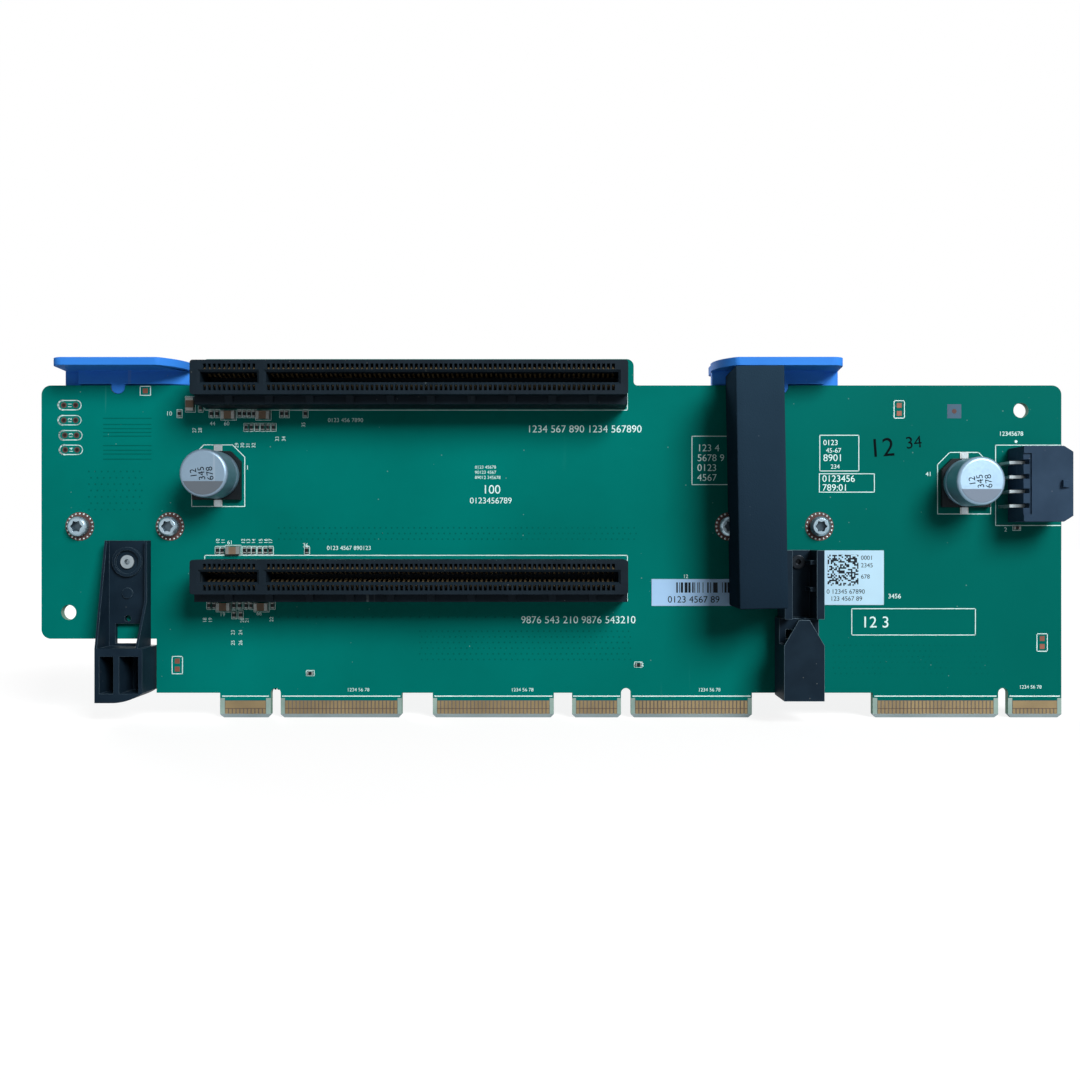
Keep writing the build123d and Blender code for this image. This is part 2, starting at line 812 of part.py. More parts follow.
under_upper_slot = upper_slot_z - slot_drop - upper_row_gap
over_lower_slot = lower_slot_z + slot_width / 2 + over_row_gap
under_lower_slot = lower_slot_z - slot_drop - lower_row_gap
resistors = [
    *chip_row(under_upper_slot, upper_row, small_chip),
    *chip_row(under_upper_slot - second_row_gap, second_row, small_chip),
    *chip_row(over_lower_slot, over_row, small_chip),
    *chip_row(under_lower_slot, lower_row, small_chip),
    *chip_row(under_lower_slot - third_row_gap, third_row, small_chip),
    chip(slot_left - near_chip_gap, under_upper_slot + near_chip_rise, small_chip),
    chip(slot_left - far_chip_gap, under_upper_slot, small_chip),
    chip(left_tongues[1][0] + key_chip_inset, key_chip_z, small_chip, upright=False),
    chip(left_tongues[-1][0] + tongue_chip_inset, tongue_chip_z, small_chip, upright=False),
    chip(board_right - socket_chip_inset, socket_chip_z, small_chip, upright=False),
]
capacitors = [
    *chip_row(under_upper_slot - large_chip_drop, large_upper_row, large_chip),
    *chip_row(over_lower_slot, large_over_row, large_chip),
    *chip_row(under_lower_slot - large_chip_drop, large_lower_row, large_chip),
    chip(slot_left - end_chip_gap, under_upper_slot + end_chip_rise, large_chip, upright=False),
]

os.makedirs("parts", exist_ok=True)
write("circuit_board", circuit_board())
write("front_edge_fingers", *edge_fingers(0, finger_thickness))
write("back_edge_fingers", *edge_fingers(-board_thickness - finger_thickness, -board_thickness))
write("top_slot_housing", slot_housing(upper_slot_z))
write("bottom_slot_housing", slot_housing(lower_slot_z))
write("power_socket_housing", power_socket())
write("power_socket_pins", *power_pins())
for side, x, z in (("left", left_cap_x, left_cap_z), ("right", right_cap_x, right_cap_z)):
    write(f"{side}_capacitor_can", capacitor_can(x, z))
    write(f"{side}_capacitor_base", capacitor_base(x, z))
    write(f"{side}_capacitor_leads", *capacitor_leads(x, z))
write("left_handle", handle(left_handle_x, -1))
write("right_handle", handle(right_handle_x, 1))
write("handle_screws", *[screw(x, z) for x, z in screw_places])
write("handle_inserts", *[threaded_insert(x, z) for x, z in screw_places])
write("left_guide", left_guide())
write("right_guide", right_guide())
write("guide_rivets", *[rivet(x, z) for x, z in rivet_places])
write("foam_block", foam_block())
write("serial_label", slab(serial_left, serial_right, serial_low, serial_high, 0, label_thickness))
square_right = square_left + square_width
write("square_label", slab(square_left, square_right, square_low, square_high, 0, label_thickness))
write("chip_resistors", *resistors)
write("chip_capacitors", *capacitors)
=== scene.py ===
# %% [markdown]
# # A riser card from a server, dressed in Blender
# The solids come from CAD: a green circuit board that stands on edge, two long card slots, blue
# lifting handles, black guides, can capacitors and a foam block. Here each solid gets its material,
# moulded parts get soft edges, and the fine things that are too small for CAD are added:
# spring contacts, solder, printed lines and traces. Everything is measured from the CAD frame.

from math import atan2, cos, degrees, hypot, pi, radians, sin

import bpy
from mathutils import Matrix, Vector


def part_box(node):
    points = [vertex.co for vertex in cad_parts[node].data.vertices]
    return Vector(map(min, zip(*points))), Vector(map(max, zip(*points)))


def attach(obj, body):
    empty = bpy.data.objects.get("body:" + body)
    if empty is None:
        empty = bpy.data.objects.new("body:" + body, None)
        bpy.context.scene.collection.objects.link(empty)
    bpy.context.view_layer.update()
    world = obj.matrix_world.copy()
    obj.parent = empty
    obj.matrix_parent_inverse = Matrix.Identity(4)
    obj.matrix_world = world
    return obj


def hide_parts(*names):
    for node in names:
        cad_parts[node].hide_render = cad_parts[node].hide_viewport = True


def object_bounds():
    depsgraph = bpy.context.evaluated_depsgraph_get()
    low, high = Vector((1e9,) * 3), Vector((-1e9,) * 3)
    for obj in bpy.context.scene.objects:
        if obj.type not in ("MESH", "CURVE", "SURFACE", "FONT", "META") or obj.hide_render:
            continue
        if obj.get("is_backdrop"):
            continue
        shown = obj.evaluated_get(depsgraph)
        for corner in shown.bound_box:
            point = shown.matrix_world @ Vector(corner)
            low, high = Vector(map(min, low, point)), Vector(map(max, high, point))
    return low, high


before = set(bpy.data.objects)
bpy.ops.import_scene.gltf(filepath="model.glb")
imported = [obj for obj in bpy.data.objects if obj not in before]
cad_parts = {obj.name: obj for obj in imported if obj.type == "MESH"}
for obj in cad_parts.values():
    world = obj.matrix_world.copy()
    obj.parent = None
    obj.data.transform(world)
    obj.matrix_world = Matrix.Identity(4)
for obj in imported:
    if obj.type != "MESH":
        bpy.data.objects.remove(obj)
cad_low, cad_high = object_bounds()
MM = 0.001
print("CAD box in mm:", [round(value / MM, 2) for value in (*cad_low, *cad_high)])

# %% [markdown]
# An operator in Blender acts on whatever is selected, so every step starts by selecting only its own
# piece. A modifier is applied at once, which leaves plain meshes. A finished piece keeps its place
# in its vertices, takes its material, and rides on the card.

# %% Helpers to select, shape and finish a piece
def pick(*pieces):
    """Selects only these pieces, the first one active."""
    bpy.ops.object.select_all(action="DESELECT")
    for piece in pieces:
        piece.select_set(True)
    if pieces:
        bpy.context.view_layer.objects.active = pieces[0]


def shaped(piece, kind, **settings):
    """Adds a modifier and applies it."""
    pick(piece)
    modifier = piece.modifiers.new(kind.lower(), kind)
    for key, value in settings.items():
        setattr(modifier, key, value)
    bpy.ops.object.modifier_apply(modifier=modifier.name)
    return piece


def copied(piece):
    """A copy of a piece with a mesh of its own."""
    pick(piece)
    bpy.ops.object.duplicate()
    return bpy.context.object


def edit(kind="VERT", action="SELECT"):
    """Goes into edit mode with everything selected, or nothing."""
    bpy.ops.object.mode_set(mode="EDIT")
    bpy.ops.mesh.select_mode(type=kind)
    bpy.ops.mesh.select_all(action=action)


def leave():
    """Goes back to object mode."""
    bpy.ops.object.mode_set(mode="OBJECT")


def joined(pieces, name):
    """One mesh of several pieces, with its place in its vertices."""
    pick(*pieces)
    if len(pieces) > 1:
        bpy.ops.object.join()
    piece = bpy.context.object
    piece.name = name
    piece.data.name = name
    bpy.ops.object.transform_apply(location=True, rotation=True, scale=True)
    return piece


def finished(piece, material):
    """Material, slot and body of a finished piece. Without a material it keeps those it has."""
    if material:
        piece.data.materials.clear()
        piece.data.materials.append(material)
    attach(piece, "root")
    print(piece.name, len(piece.data.polygons), "faces")
    return piece


def rimmed(pieces, name, width, material, segments=1):
    """Pieces joined and finished, with bevelled edges of a width in millimetres."""
    piece = shaped(joined(pieces, name), "BEVEL", width=width * MM, segments=segments)
    return finished(piece, material)


# %% [markdown]
# Materials are node trees. Writing a tree by hand takes many lines, so a few helpers make a node, mix
# two colours, remap a value and the like. Colours are written as on a screen, from 0 to 255, and
# turned into the linear values that a shader expects.

# %% Helpers for node trees
def tint(red, green, blue):
    """Screen colour to a linear one."""
    linear = []
    for level in (red / 255, green / 255, blue / 255):
        linear.append(level / 12.92 if level <= 0.04045 else ((level + 0.055) / 1.055) ** 2.4)
    return (*linear, 1.0)


def feed(tree, socket, value):
    """Links a socket, or sets its value."""
    if isinstance(value, bpy.types.NodeSocket):
        tree.links.new(value, socket)
    else:
        socket.default_value = value


def add(tree, kind, inputs=None, **settings):
    """A node with its settings and inputs."""
    node = tree.nodes.new("ShaderNode" + kind)
    for key, value in settings.items():
        setattr(node, key, value)
    for key, value in (inputs or {}).items():
        feed(tree, node.inputs[key], value)
    return node


def maths(tree, operation, first, second=0.0):
    """Result of one Math node."""
    return add(tree, "Math", {0: first, 1: second}, operation=operation).outputs[0]


def mixed(tree, share, first, second):
    """Two colours mixed."""
    return add(tree, "Mix", {0: share, 6: first, 7: second}, data_type="RGBA").outputs[2]


def ranged(tree, value, start, end, low=0.0, high=1.0):
    """A value taken from one range to another, clamped."""
    limits = {"Value": value, "From Min": start, "From Max": end, "To Min": low, "To Max": high}
    return add(tree, "MapRange", limits).outputs["Result"]


def axes(tree, vector):
    """X, Y and Z of a vector."""
    return add(tree, "SeparateXYZ", {"Vector": vector}).outputs


print("board green as a linear colour:", [round(level, 3) for level in tint(0, 108, 100)])

# %% [markdown]
# Three effects are shared by many materials, so each is a node group. Grain is the fine bump of
# moulded plastic with a slow change of tone, hairlines are the thin scratches of handling,
# and specks are dust. A group puts out plain values, so every material decides what to do with them.

# %% Shader groups: grain, hairlines and specks
def group(name, scale, outputs):
    """Empty group with a Vector and a Scale input."""
    tree = bpy.data.node_groups.new(name, "ShaderNodeTree")
    tree.interface.new_socket("Vector", in_out="INPUT", socket_type="NodeSocketVector")
    socket = tree.interface.new_socket("Scale", in_out="INPUT", socket_type="NodeSocketFloat")
    socket.default_value = scale
    for output in outputs:
        tree.interface.new_socket(output, in_out="OUTPUT", socket_type="NodeSocketFloat")
    inputs = tree.nodes.new("NodeGroupInput").outputs
    ends = tree.nodes.new("NodeGroupOutput").inputs
    return tree, inputs["Vector"], inputs["Scale"], ends


grain, vector, scale, ends = group("moulded grain", 6000.0, ("Height", "Tone"))
fine = add(grain, "TexNoise", {"Vector": vector, "Scale": scale, "Detail": 4.0, "Roughness": 0.6})
slow = maths(grain, "MULTIPLY", scale, 0.03)
broad = add(grain, "TexNoise", {"Vector": vector, "Scale": slow, "Detail": 3.0})
feed(grain, ends["Height"], fine.outputs["Fac"])
feed(grain, ends["Tone"], ranged(grain, broad.outputs["Fac"], 0.3, 0.7))

hairlines, vector, scale, ends = group("hairlines", 500.0, ("Mask",))
stretch = {"Vector": vector, "Scale": (1.0, 1.0, 0.04), "Rotation": (0.0, 0.5, 0.0)}
along = add(hairlines, "Mapping", stretch).outputs["Vector"]
thin = add(hairlines, "TexNoise", {"Vector": along, "Scale": scale, "Detail": 2.0}).outputs["Fac"]
patch = maths(hairlines, "MULTIPLY", scale, 0.08)
where = add(hairlines, "TexNoise", {"Vector": vector, "Scale": patch, "Detail": 1.0}).outputs["Fac"]
line = ranged(hairlines, thin, 0.7, 0.73)
feed(hairlines, ends["Mask"], maths(hairlines, "MULTIPLY", line, ranged(hairlines, where, 0.5, 0.62)))

specks, vector, scale, ends = group("specks", 700.0, ("Mask",))
cells = add(specks, "TexVoronoi", {"Vector": vector, "Scale": scale, "Randomness": 1.0})
chance = add(specks, "SeparateColor", {"Color": cells.outputs["Color"]}).outputs[0]
near = ranged(specks, cells.outputs["Distance"], 0.09, 0.05)
feed(specks, ends["Mask"], maths(specks, "MULTIPLY", near, ranged(specks, chance, 0.8, 0.82)))
print("groups:", [tree.name for tree in bpy.data.node_groups])

# %% [markdown]
# Most materials follow one pattern: two close colours blended by the grain's tone, a roughness that
# follows it, a little dust, hairline scratches, and a bump. One function writes that pattern and takes
# the few values in which gold, plastic, paper and solder differ.

# %% The common material
def coords(tree):
    """Place in the piece, in metres."""
    return add(tree, "TexCoord").outputs["Object"]


def effect(tree, shared, place, scale):
    """A shared group at a scale of its own."""
    node = add(tree, "Group", node_tree=shared)
    feed(tree, node.inputs["Vector"], place)
    feed(tree, node.inputs["Scale"], scale)
    return node.outputs


def fresh(name):
    """A new material with its tree and shader."""
    material = bpy.data.materials.new(name)
    material.use_nodes = True
    return material, material.node_tree, material.node_tree.nodes["Principled BSDF"].inputs


def bumped(tree, sockets, height, distance):
    """Bump on a shader from a height and its depth in metres."""
    bump = add(tree, "Bump", {"Strength": 0.6, "Distance": distance, "Height": height})
    feed(tree, sockets["Normal"], bump.outputs["Normal"])


def finish(name, first, second, rough, metal=0.0, depth=0.01, worn=0.3, dust=0.2, shine=0.15):
    """Two tones with grain, scratches and dust. The depth of the bump is in millimetres."""
    material, tree, sockets = fresh(name)
    place = coords(tree)
    mould = effect(tree, grain, place, 6000.0)
    scratch = maths(tree, "MULTIPLY", effect(tree, hairlines, place, 500.0)["Mask"], worn)
    speck = maths(tree, "MULTIPLY", effect(tree, specks, place, 700.0)["Mask"], dust)
    colour = mixed(tree, mould["Tone"], tint(*first), tint(*second))
    colour = mixed(tree, scratch, colour, tint(150, 165, 170))
    feed(tree, sockets["Base Color"], mixed(tree, speck, colour, tint(190, 195, 190)))
    feed(tree, sockets["Roughness"], ranged(tree, mould["Height"], 0.3, 0.7, rough - 0.08, rough + 0.08))
    sockets["Metallic"].default_value = metal
    sockets["Specular IOR Level"].default_value = shine
    bumped(tree, sockets, mould["Height"], depth * MM)
    return material


gold = finish("gold", (152, 134, 100), (134, 118, 90), 0.42, metal=0.6, depth=0.003)
slot_plastic = finish("slot plastic", (18, 28, 36), (25, 37, 46), 0.5, depth=0.012, shine=0.07)
# Paler slot edges: painted highlight where the rounded edges catch the light.
slot_edge_highlight = finish("slot edges", (52, 72, 80), (38, 54, 62), 0.5, shine=0.07)
socket_plastic = finish("socket plastic", (38, 57, 77), (46, 66, 87), 0.55, worn=0.15, shine=0.06)
tinned = finish("tinned metal", (178, 190, 194), (150, 162, 168), 0.32, metal=0.85, depth=0.004)
solder = finish("solder", (196, 204, 204), (164, 174, 176), 0.36, metal=0.5)
base_plastic = finish("capacitor base", (12, 18, 22), (20, 28, 32), 0.5)
blue_plastic = finish("blue plastic", (52, 130, 226), (55, 134, 229), 0.6, depth=0.006, worn=0.12, shine=0.1)
screw_metal = finish("screw metal", (168, 190, 202), (140, 164, 178), 0.3, metal=0.85, depth=0.004)
# Darker metal for the screws' star recess: painted shade.
recess_shade_metal = finish("screw recess", (86, 102, 112), (54, 68, 78), 0.36, metal=0.75, depth=0.004)
brass = finish("brass", (186, 150, 84), (170, 132, 70), 0.35, metal=0.9)
guide_plastic = finish("guide plastic", (16, 30, 42), (24, 40, 53), 0.5, depth=0.01, worn=0.3, shine=0.06)
# Paler guide edges: partly wear, partly painted highlight along the rounded rims.
guide_edge_highlight = finish("guide edges", (104, 124, 136), (58, 76, 88), 0.5, shine=0.06)
rivet_metal = finish("rivet metal", (186, 196, 202), (140, 154, 162), 0.34, metal=0.8)
# Dark rivet material: painted shade for the rivet deep in the right guide's channel.
rivet_painted_shade = finish("dark rivet", (34, 42, 50), (22, 28, 34), 0.3, metal=0.3)
resistor_body = finish("resistor body", (14, 18, 20), (26, 32, 34), 0.4)
capacitor_body = finish("capacitor body", (136, 116, 98), (112, 96, 80), 0.5)
chip_cap = finish("chip end", (150, 156, 154), (116, 124, 124), 0.4, metal=0.4)
copper = finish("bare copper", (150, 96, 80), (122, 80, 68), 0.5, metal=0.2)
ring_stain = finish("pad ring", (98, 70, 66), (72, 56, 54), 0.55)
# Dark discs for the test point holes: painted shade inside the holes.
hole_painted_shade = finish("open via", (46, 34, 30), (26, 22, 22), 0.6)
grey_pad = finish("grey pad", (66, 98, 118), (70, 88, 108), 0.5)
ink = finish("white ink", (226, 252, 250), (204, 234, 232), 0.6, worn=0.0, dust=0.0)
dark_ink = finish("dark ink", (6, 12, 16), (14, 20, 24), 0.8, worn=0.0, dust=0.0, shine=0.02)
trace_mask = finish("mask over a trace", (0, 99, 91), (0, 90, 83), 0.4, depth=0.004, shine=0.02)
pale_rim = finish("bare laminate rim", (152, 176, 168), (130, 154, 148), 0.6)
bare_break = finish("bare break", (106, 88, 78), (90, 74, 66), 0.6)
print("materials:", len(bpy.data.materials))

# %% [markdown]
# The board's faces are green solder mask over copper, with cloudy tone, the weave of the glass below
# it, scratches and dust. Its cut edges and the foot of the tongues are bare laminate: pale along the
# bevel, brownish between the gold fingers. The node tree tells these zones apart by the face's
# direction and by the height above the foot.

# %% Material of the board
MASK_LOW = 3.72 * MM
BEVEL_TOP = 0.82 * MM

laminate, tree, sockets = fresh("solder mask")
place = coords(tree)
height = axes(tree, place)["Z"]
across = maths(tree, "ABSOLUTE", axes(tree, add(tree, "NewGeometry").outputs["Normal"])["Y"])
flat = ranged(tree, across, 0.9, 0.95)
masked = maths(tree, "MULTIPLY", flat, ranged(tree, height, MASK_LOW - 0.05 * MM, MASK_LOW))
mould = effect(tree, grain, place, 2500.0)
weave = add(tree, "TexWave", {"Vector": place, "Scale": 420.0, "Distortion": 0.6}, bands_direction="Z")
cloud = add(tree, "TexNoise", {"Vector": place, "Scale": 38.0, "Detail": 3.0}).outputs["Fac"]
green = mixed(tree, ranged(tree, cloud, 0.35, 0.65), tint(0, 108, 100), tint(0, 121, 113))
green = mixed(tree, maths(tree, "MULTIPLY", mould["Tone"], 0.3), green, tint(0, 98, 90))
# Painted shade: the green darkens towards the right, where the light falls off.
painted_falloff = ranged(tree, axes(tree, place)["X"], -10 * MM, 80 * MM, 0.0, 0.75)
green = mixed(tree, painted_falloff, green, tint(0, 92, 84))
scratch = maths(tree, "MULTIPLY", effect(tree, hairlines, place, 420.0)["Mask"], 0.2)
green = mixed(tree, scratch, green, tint(70, 160, 150))
speck = maths(tree, "MULTIPLY", effect(tree, specks, place, 520.0)["Mask"], 0.25)
green = mixed(tree, speck, green, tint(170, 205, 200))
between = mixed(tree, mould["Tone"], tint(118, 112, 104), tint(96, 90, 86))
bevel = mixed(tree, mould["Tone"], tint(178, 196, 200), tint(156, 174, 178))
above = ranged(tree, height, BEVEL_TOP, BEVEL_TOP + 0.05 * MM)
edge = mixed(tree, above, bevel, tint(120, 150, 136))
bare = mixed(tree, flat, edge, mixed(tree, above, bevel, between))
feed(tree, sockets["Base Color"], mixed(tree, masked, bare, green))
feed(tree, sockets["Roughness"], ranged(tree, masked, 0.0, 1.0, 0.7, 0.34))
sockets["Specular IOR Level"].default_value = 0.02
relief = maths(tree, "ADD", mould["Height"], maths(tree, "MULTIPLY", weave.outputs["Fac"], 0.3))
bumped(tree, sockets, relief, 0.006 * MM)
print("board material:", len(tree.nodes), "nodes")

# %% [markdown]
# A can's top carries a printed mark over its lower third, so the can's material is made for a place:
# the mark lies below a level measured from the can's own middle and only on the flat top.

# %% Material of the cans
MARK_DROP = 1.6 * MM


def can_material(node, bright, mark_tone):
    """Drawn aluminium with a darker mark on the lower part of its top."""
    material, tree, sockets = fresh(node + " metal")
    low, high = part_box(node)
    place = coords(tree)
    level = axes(tree, place)["Z"]
    facing = axes(tree, add(tree, "NewGeometry").outputs["Normal"])["Y"]
    top = ranged(tree, facing, -0.9, -0.97)
    edge = (low.z + high.z) / 2 - MARK_DROP
    mark = maths(tree, "MULTIPLY", ranged(tree, level, edge, edge - 0.1 * MM), top)
    mould = effect(tree, grain, place, 1800.0)
    silver = mixed(tree, mould["Tone"], tint(*bright), tint(*[tone - 16 for tone in bright]))
    scratch = maths(tree, "MULTIPLY", effect(tree, hairlines, place, 600.0)["Mask"], 0.08)
    silver = mixed(tree, scratch, silver, tint(236, 240, 242))
    feed(tree, sockets["Base Color"], mixed(tree, mark, silver, tint(*mark_tone)))
    feed(tree, sockets["Metallic"], ranged(tree, mark, 0.0, 1.0, 0.7, 0.1))
    feed(tree, sockets["Roughness"], ranged(tree, mould["Height"], 0.3, 0.7, 0.34, 0.48))
    sockets["Specular IOR Level"].default_value = 0.2
    bumped(tree, sockets, mould["Height"], 0.004 * MM)
    return material


# The two cans are alike; the left one's darker tones and the right one's lighter ones are painted shade and
# light.
left_can = can_material("left_capacitor_can", (138, 162, 182), (96, 105, 114))
right_can = can_material("right_capacitor_can", (151, 180, 202), (116, 130, 147))
print("can materials:", left_can.name, "and", right_can.name)

# %% [markdown]
# The foam is closed-cell: a matt dark slate with fine pores, made a shade lighter towards its top as
# painted light. Voronoi cells give the pores as bump, and a slow noise keeps the colour from looking like
# paint.

# %% Material of the foam
foam_low, foam_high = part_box("foam_block")

foam_skin, tree, sockets = fresh("closed cell foam")
place = coords(tree)
pores = add(tree, "TexVoronoi", {"Vector": place, "Scale": 3200.0}).outputs["Distance"]
mould = effect(tree, grain, place, 1600.0)
# Painted light: the slate is lighter towards the top of the block.
rise = ranged(tree, axes(tree, place)["Z"], foam_low.z, foam_high.z)
slate = mixed(tree, rise, tint(26, 42, 56), tint(38, 58, 74))
slate = mixed(tree, maths(tree, "MULTIPLY", mould["Tone"], 0.4), slate, tint(22, 36, 48))
speck = maths(tree, "MULTIPLY", effect(tree, specks, place, 600.0)["Mask"], 0.25)
feed(tree, sockets["Base Color"], mixed(tree, speck, slate, tint(120, 136, 146)))
sockets["Roughness"].default_value = 0.92
sockets["Specular IOR Level"].default_value = 0.0
bumped(tree, sockets, maths(tree, "ADD", pores, mould["Height"]), 0.05 * MM)
print("foam from", round(foam_low.z / MM, 1), "to", round(foam_high.z / MM, 1), "mm")

# %% [markdown]
# Each sticker carries a plain made-up pattern: random cells in a square field, or random bars in a
# strip. White noise on rounded coordinates gives one random value a cell, and a mask keeps it inside
# the printed field. The bars come from cells that are taller than their field.

# %% Materials of the labels
def inside(tree, value, low, high):
    """1 between two limits."""
    above = maths(tree, "GREATER_THAN", value, low)
    return maths(tree, "MULTIPLY", above, maths(tree, "LESS_THAN", value, high))


def label_material(name, paper, field, cell_x, cell_z):
    """Sticker with a field of random dark cells, given as left, right, low and high in metres."""
    material, tree, sockets = fresh(name)
    place = coords(tree)
    parts = axes(tree, place)
    columns = maths(tree, "FLOOR", maths(tree, "DIVIDE", parts["X"], cell_x))
    rows = maths(tree, "FLOOR", maths(tree, "DIVIDE", parts["Z"], cell_z))
    cell = add(tree, "CombineXYZ", {"X": columns, "Z": rows}).outputs["Vector"]
    value = add(tree, "TexWhiteNoise", {"Vector": cell}).outputs["Value"]
    left, right, low, high = field
    beside = inside(tree, parts["X"], left, right)
    window = maths(tree, "MULTIPLY", beside, inside(tree, parts["Z"], low, high))
    dark = maths(tree, "MULTIPLY", maths(tree, "GREATER_THAN", value, 0.5), window)
    mould = effect(tree, grain, place, 2600.0)
    sheet = mixed(tree, mould["Tone"], tint(*paper), tint(*[level - 14 for level in paper]))
    feed(tree, sockets["Base Color"], mixed(tree, dark, sheet, tint(26, 34, 42)))
    sockets["Roughness"].default_value = 0.5
    sockets["Specular IOR Level"].default_value = 0.1
    bumped(tree, sockets, mould["Height"], 0.006 * MM)
    return material


BARS_LEFT = 5.2 * MM
BARS_RIGHT = 0.9 * MM
BARS_DEEP = 2.9 * MM
BARS_TOP = 0.7 * MM
BAR_WIDTH = 0.16 * MM
BAR_HEIGHT = 40 * MM
CELLS_SIDE = 6.6 * MM
CELLS_LEFT = 0.6 * MM
CELLS_TOP = 0.9 * MM
CELL = 0.33 * MM

serial_low, serial_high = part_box("serial_label")
left, right = serial_low.x + BARS_LEFT, serial_high.x - BARS_RIGHT
field = (left, right, serial_high.z - BARS_DEEP, serial_high.z - BARS_TOP)
serial_paper = label_material("serial sticker", (168, 205, 240), field, BAR_WIDTH, BAR_HEIGHT)
square_low, square_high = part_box("square_label")
left, top = square_low.x + CELLS_LEFT, square_high.z - CELLS_TOP
field = (left, left + CELLS_SIDE, top - CELLS_SIDE, top)
square_paper = label_material("square sticker", (186, 222, 242), field, CELL, CELL)
print("labels:", serial_paper.name, "and", square_paper.name)

# %% [markdown]
# Each CAD node gets its material now. Pieces that are replaced further down by softened copies take
# the same material there.

# %% Dress the CAD nodes
dress = {
    "circuit_board": laminate,
    "front_edge_fingers": gold,
    "back_edge_fingers": gold,
    "top_slot_housing": slot_plastic,
    "bottom_slot_housing": slot_plastic,
    "power_socket_housing": socket_plastic,
    "power_socket_pins": tinned,
    "left_capacitor_can": left_can,
    "right_capacitor_can": right_can,
    "left_capacitor_base": base_plastic,
    "right_capacitor_base": base_plastic,
    "left_capacitor_leads": tinned,
    "right_capacitor_leads": tinned,
    "left_handle": blue_plastic,
    "right_handle": blue_plastic,
    "handle_screws": screw_metal,
    "handle_inserts": brass,
    "left_guide": guide_plastic,
    "right_guide": guide_plastic,
    "guide_rivets": rivet_metal,
    "foam_block": foam_skin,
    "serial_label": serial_paper,
    "square_label": square_paper,
    "chip_resistors": resistor_body,
    "chip_capacitors": capacitor_body,
}
for node, material in dress.items():
    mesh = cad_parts[node].data
    mesh.materials.clear()
    mesh.materials.append(material)
print("dressed nodes:", len(dress), "of", len(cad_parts))

# %% [markdown]
# Real mouldings have no razor edges: a small round catches the light along every rim. The solids come
# as loose triangles, so a copy is merged at its corners first, or a bevel would open every triangle.
# Edges are chosen in code by the faces beside them: where the front of a grip turns back it gets a
# wide round, and on a piece with tiny features only edges with room beside them get one.

# %% Helpers to merge a copy and choose its edges
FRONT_TURN = radians(25)
SHARP = radians(32)
SAME_PLACE = 0.0005 * MM
SAME_LINE = 0.01 * MM
FRONT_STEPS = 8


def copy_of(node, name):
    """Copy of a CAD node in edit mode, with its triangles merged at their corners."""
    piece = bpy.data.objects.new(name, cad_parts[node].data.copy())
    bpy.context.collection.objects.link(piece)
    pick(piece)
    edit()
    bpy.ops.mesh.customdata_custom_splitnormals_clear()
    bpy.ops.mesh.remove_doubles(threshold=SAME_PLACE)
    return piece


def turns(mesh):
    """Angle between the two faces beside each edge, by the edge's key."""
    normals = {}
    for face in mesh.polygons:
        for key in face.edge_keys:
            normals.setdefault(key, []).append(face.normal.copy())
    return {key: beside[0].angle(beside[1]) for key, beside in normals.items()}


def round_front(piece, width):
    """Rounds the upright edges in a piece's front plane, where its outline turns back."""
    mesh = piece.data
    turn = turns(mesh)
    front = min(vertex.co.y for vertex in mesh.vertices)
    edit("EDGE", "DESELECT")
    leave()
    for edge in mesh.edges:
        first, second = (mesh.vertices[index].co for index in edge.vertices)
        upright = hypot(first.x - second.x, first.y - second.y) < SAME_LINE
        edge.select = upright and turn[edge.key] > FRONT_TURN and first.y < front + SAME_LINE
    bpy.ops.object.mode_set(mode="EDIT")
    bpy.ops.mesh.bevel(offset=width * MM, segments=FRONT_STEPS, affect="EDGES", clamp_overlap=True)
    bpy.ops.mesh.select_mode(type="VERT")
    leave()


def weigh(piece, room):
    """Bevel weight for the sharp edges with no edge beside them that is shorter than room."""
    mesh = piece.data
    turn = turns(mesh)
    shortest = [1.0] * len(mesh.vertices)
    for edge in mesh.edges:
        first, second = (mesh.vertices[index] for index in edge.vertices)
        for vertex in (first, second):
            shortest[vertex.index] = min(shortest[vertex.index], (first.co - second.co).length)
    weights = mesh.attributes.new("bevel_weight_edge", "FLOAT", "EDGE")
    for edge in mesh.edges:
        roomy = min(shortest[index] for index in edge.vertices) > room * MM
        weights.data[edge.index].value = float(roomy and turn[edge.key] > SHARP)


print("edges count as sharp over", round(degrees(SHARP)), "degrees")

# %% [markdown]
# A Bevel modifier then rounds the sharp edges of the copy. On the guides and slots the new faces take a
# second, paler material: partly wear from handling, partly painted highlight where the rims catch the
# light. Weighted normals keep the large faces flat to the light. The copy stands for its CAD node in
# the picture. The rivets differ: the one on the right, deep in its channel, takes a dark material as
# painted shade.

# %% Softened copies of the moulded nodes
FLAT = radians(0.5)
SMOOTH = radians(40)
SLOTS = ("top_slot_housing", "bottom_slot_housing")


def both(name):
    """Names of the left and the right node of a kind."""
    return "left_" + name, "right_" + name


def softened(node, width, segments=2, edge=None, front=0.0, room=0.0):
    """Copy of a CAD node with rounded edges, sizes in millimetres, and a paler material for them if given,
    partly painted highlight.
    """
    piece = copy_of(node, node + "_soft")
    bpy.ops.mesh.dissolve_limited(angle_limit=FLAT)
    leave()
    if front:
        round_front(piece, front)
    if edge:
        piece.data.materials.append(edge)
    limits = {"limit_method": "ANGLE", "angle_limit": SHARP, "use_clamp_overlap": True}
    if room:
        weigh(piece, room)
        limits["limit_method"] = "WEIGHT"
    shaped(piece, "BEVEL", width=width * MM, segments=segments, material=1 if edge else -1, **limits)
    bpy.ops.object.shade_smooth_by_angle(angle=SMOOTH)
    shaped(piece, "WEIGHTED_NORMAL", weight=100, keep_sharp=True)
    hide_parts(node)
    return finished(piece, None)


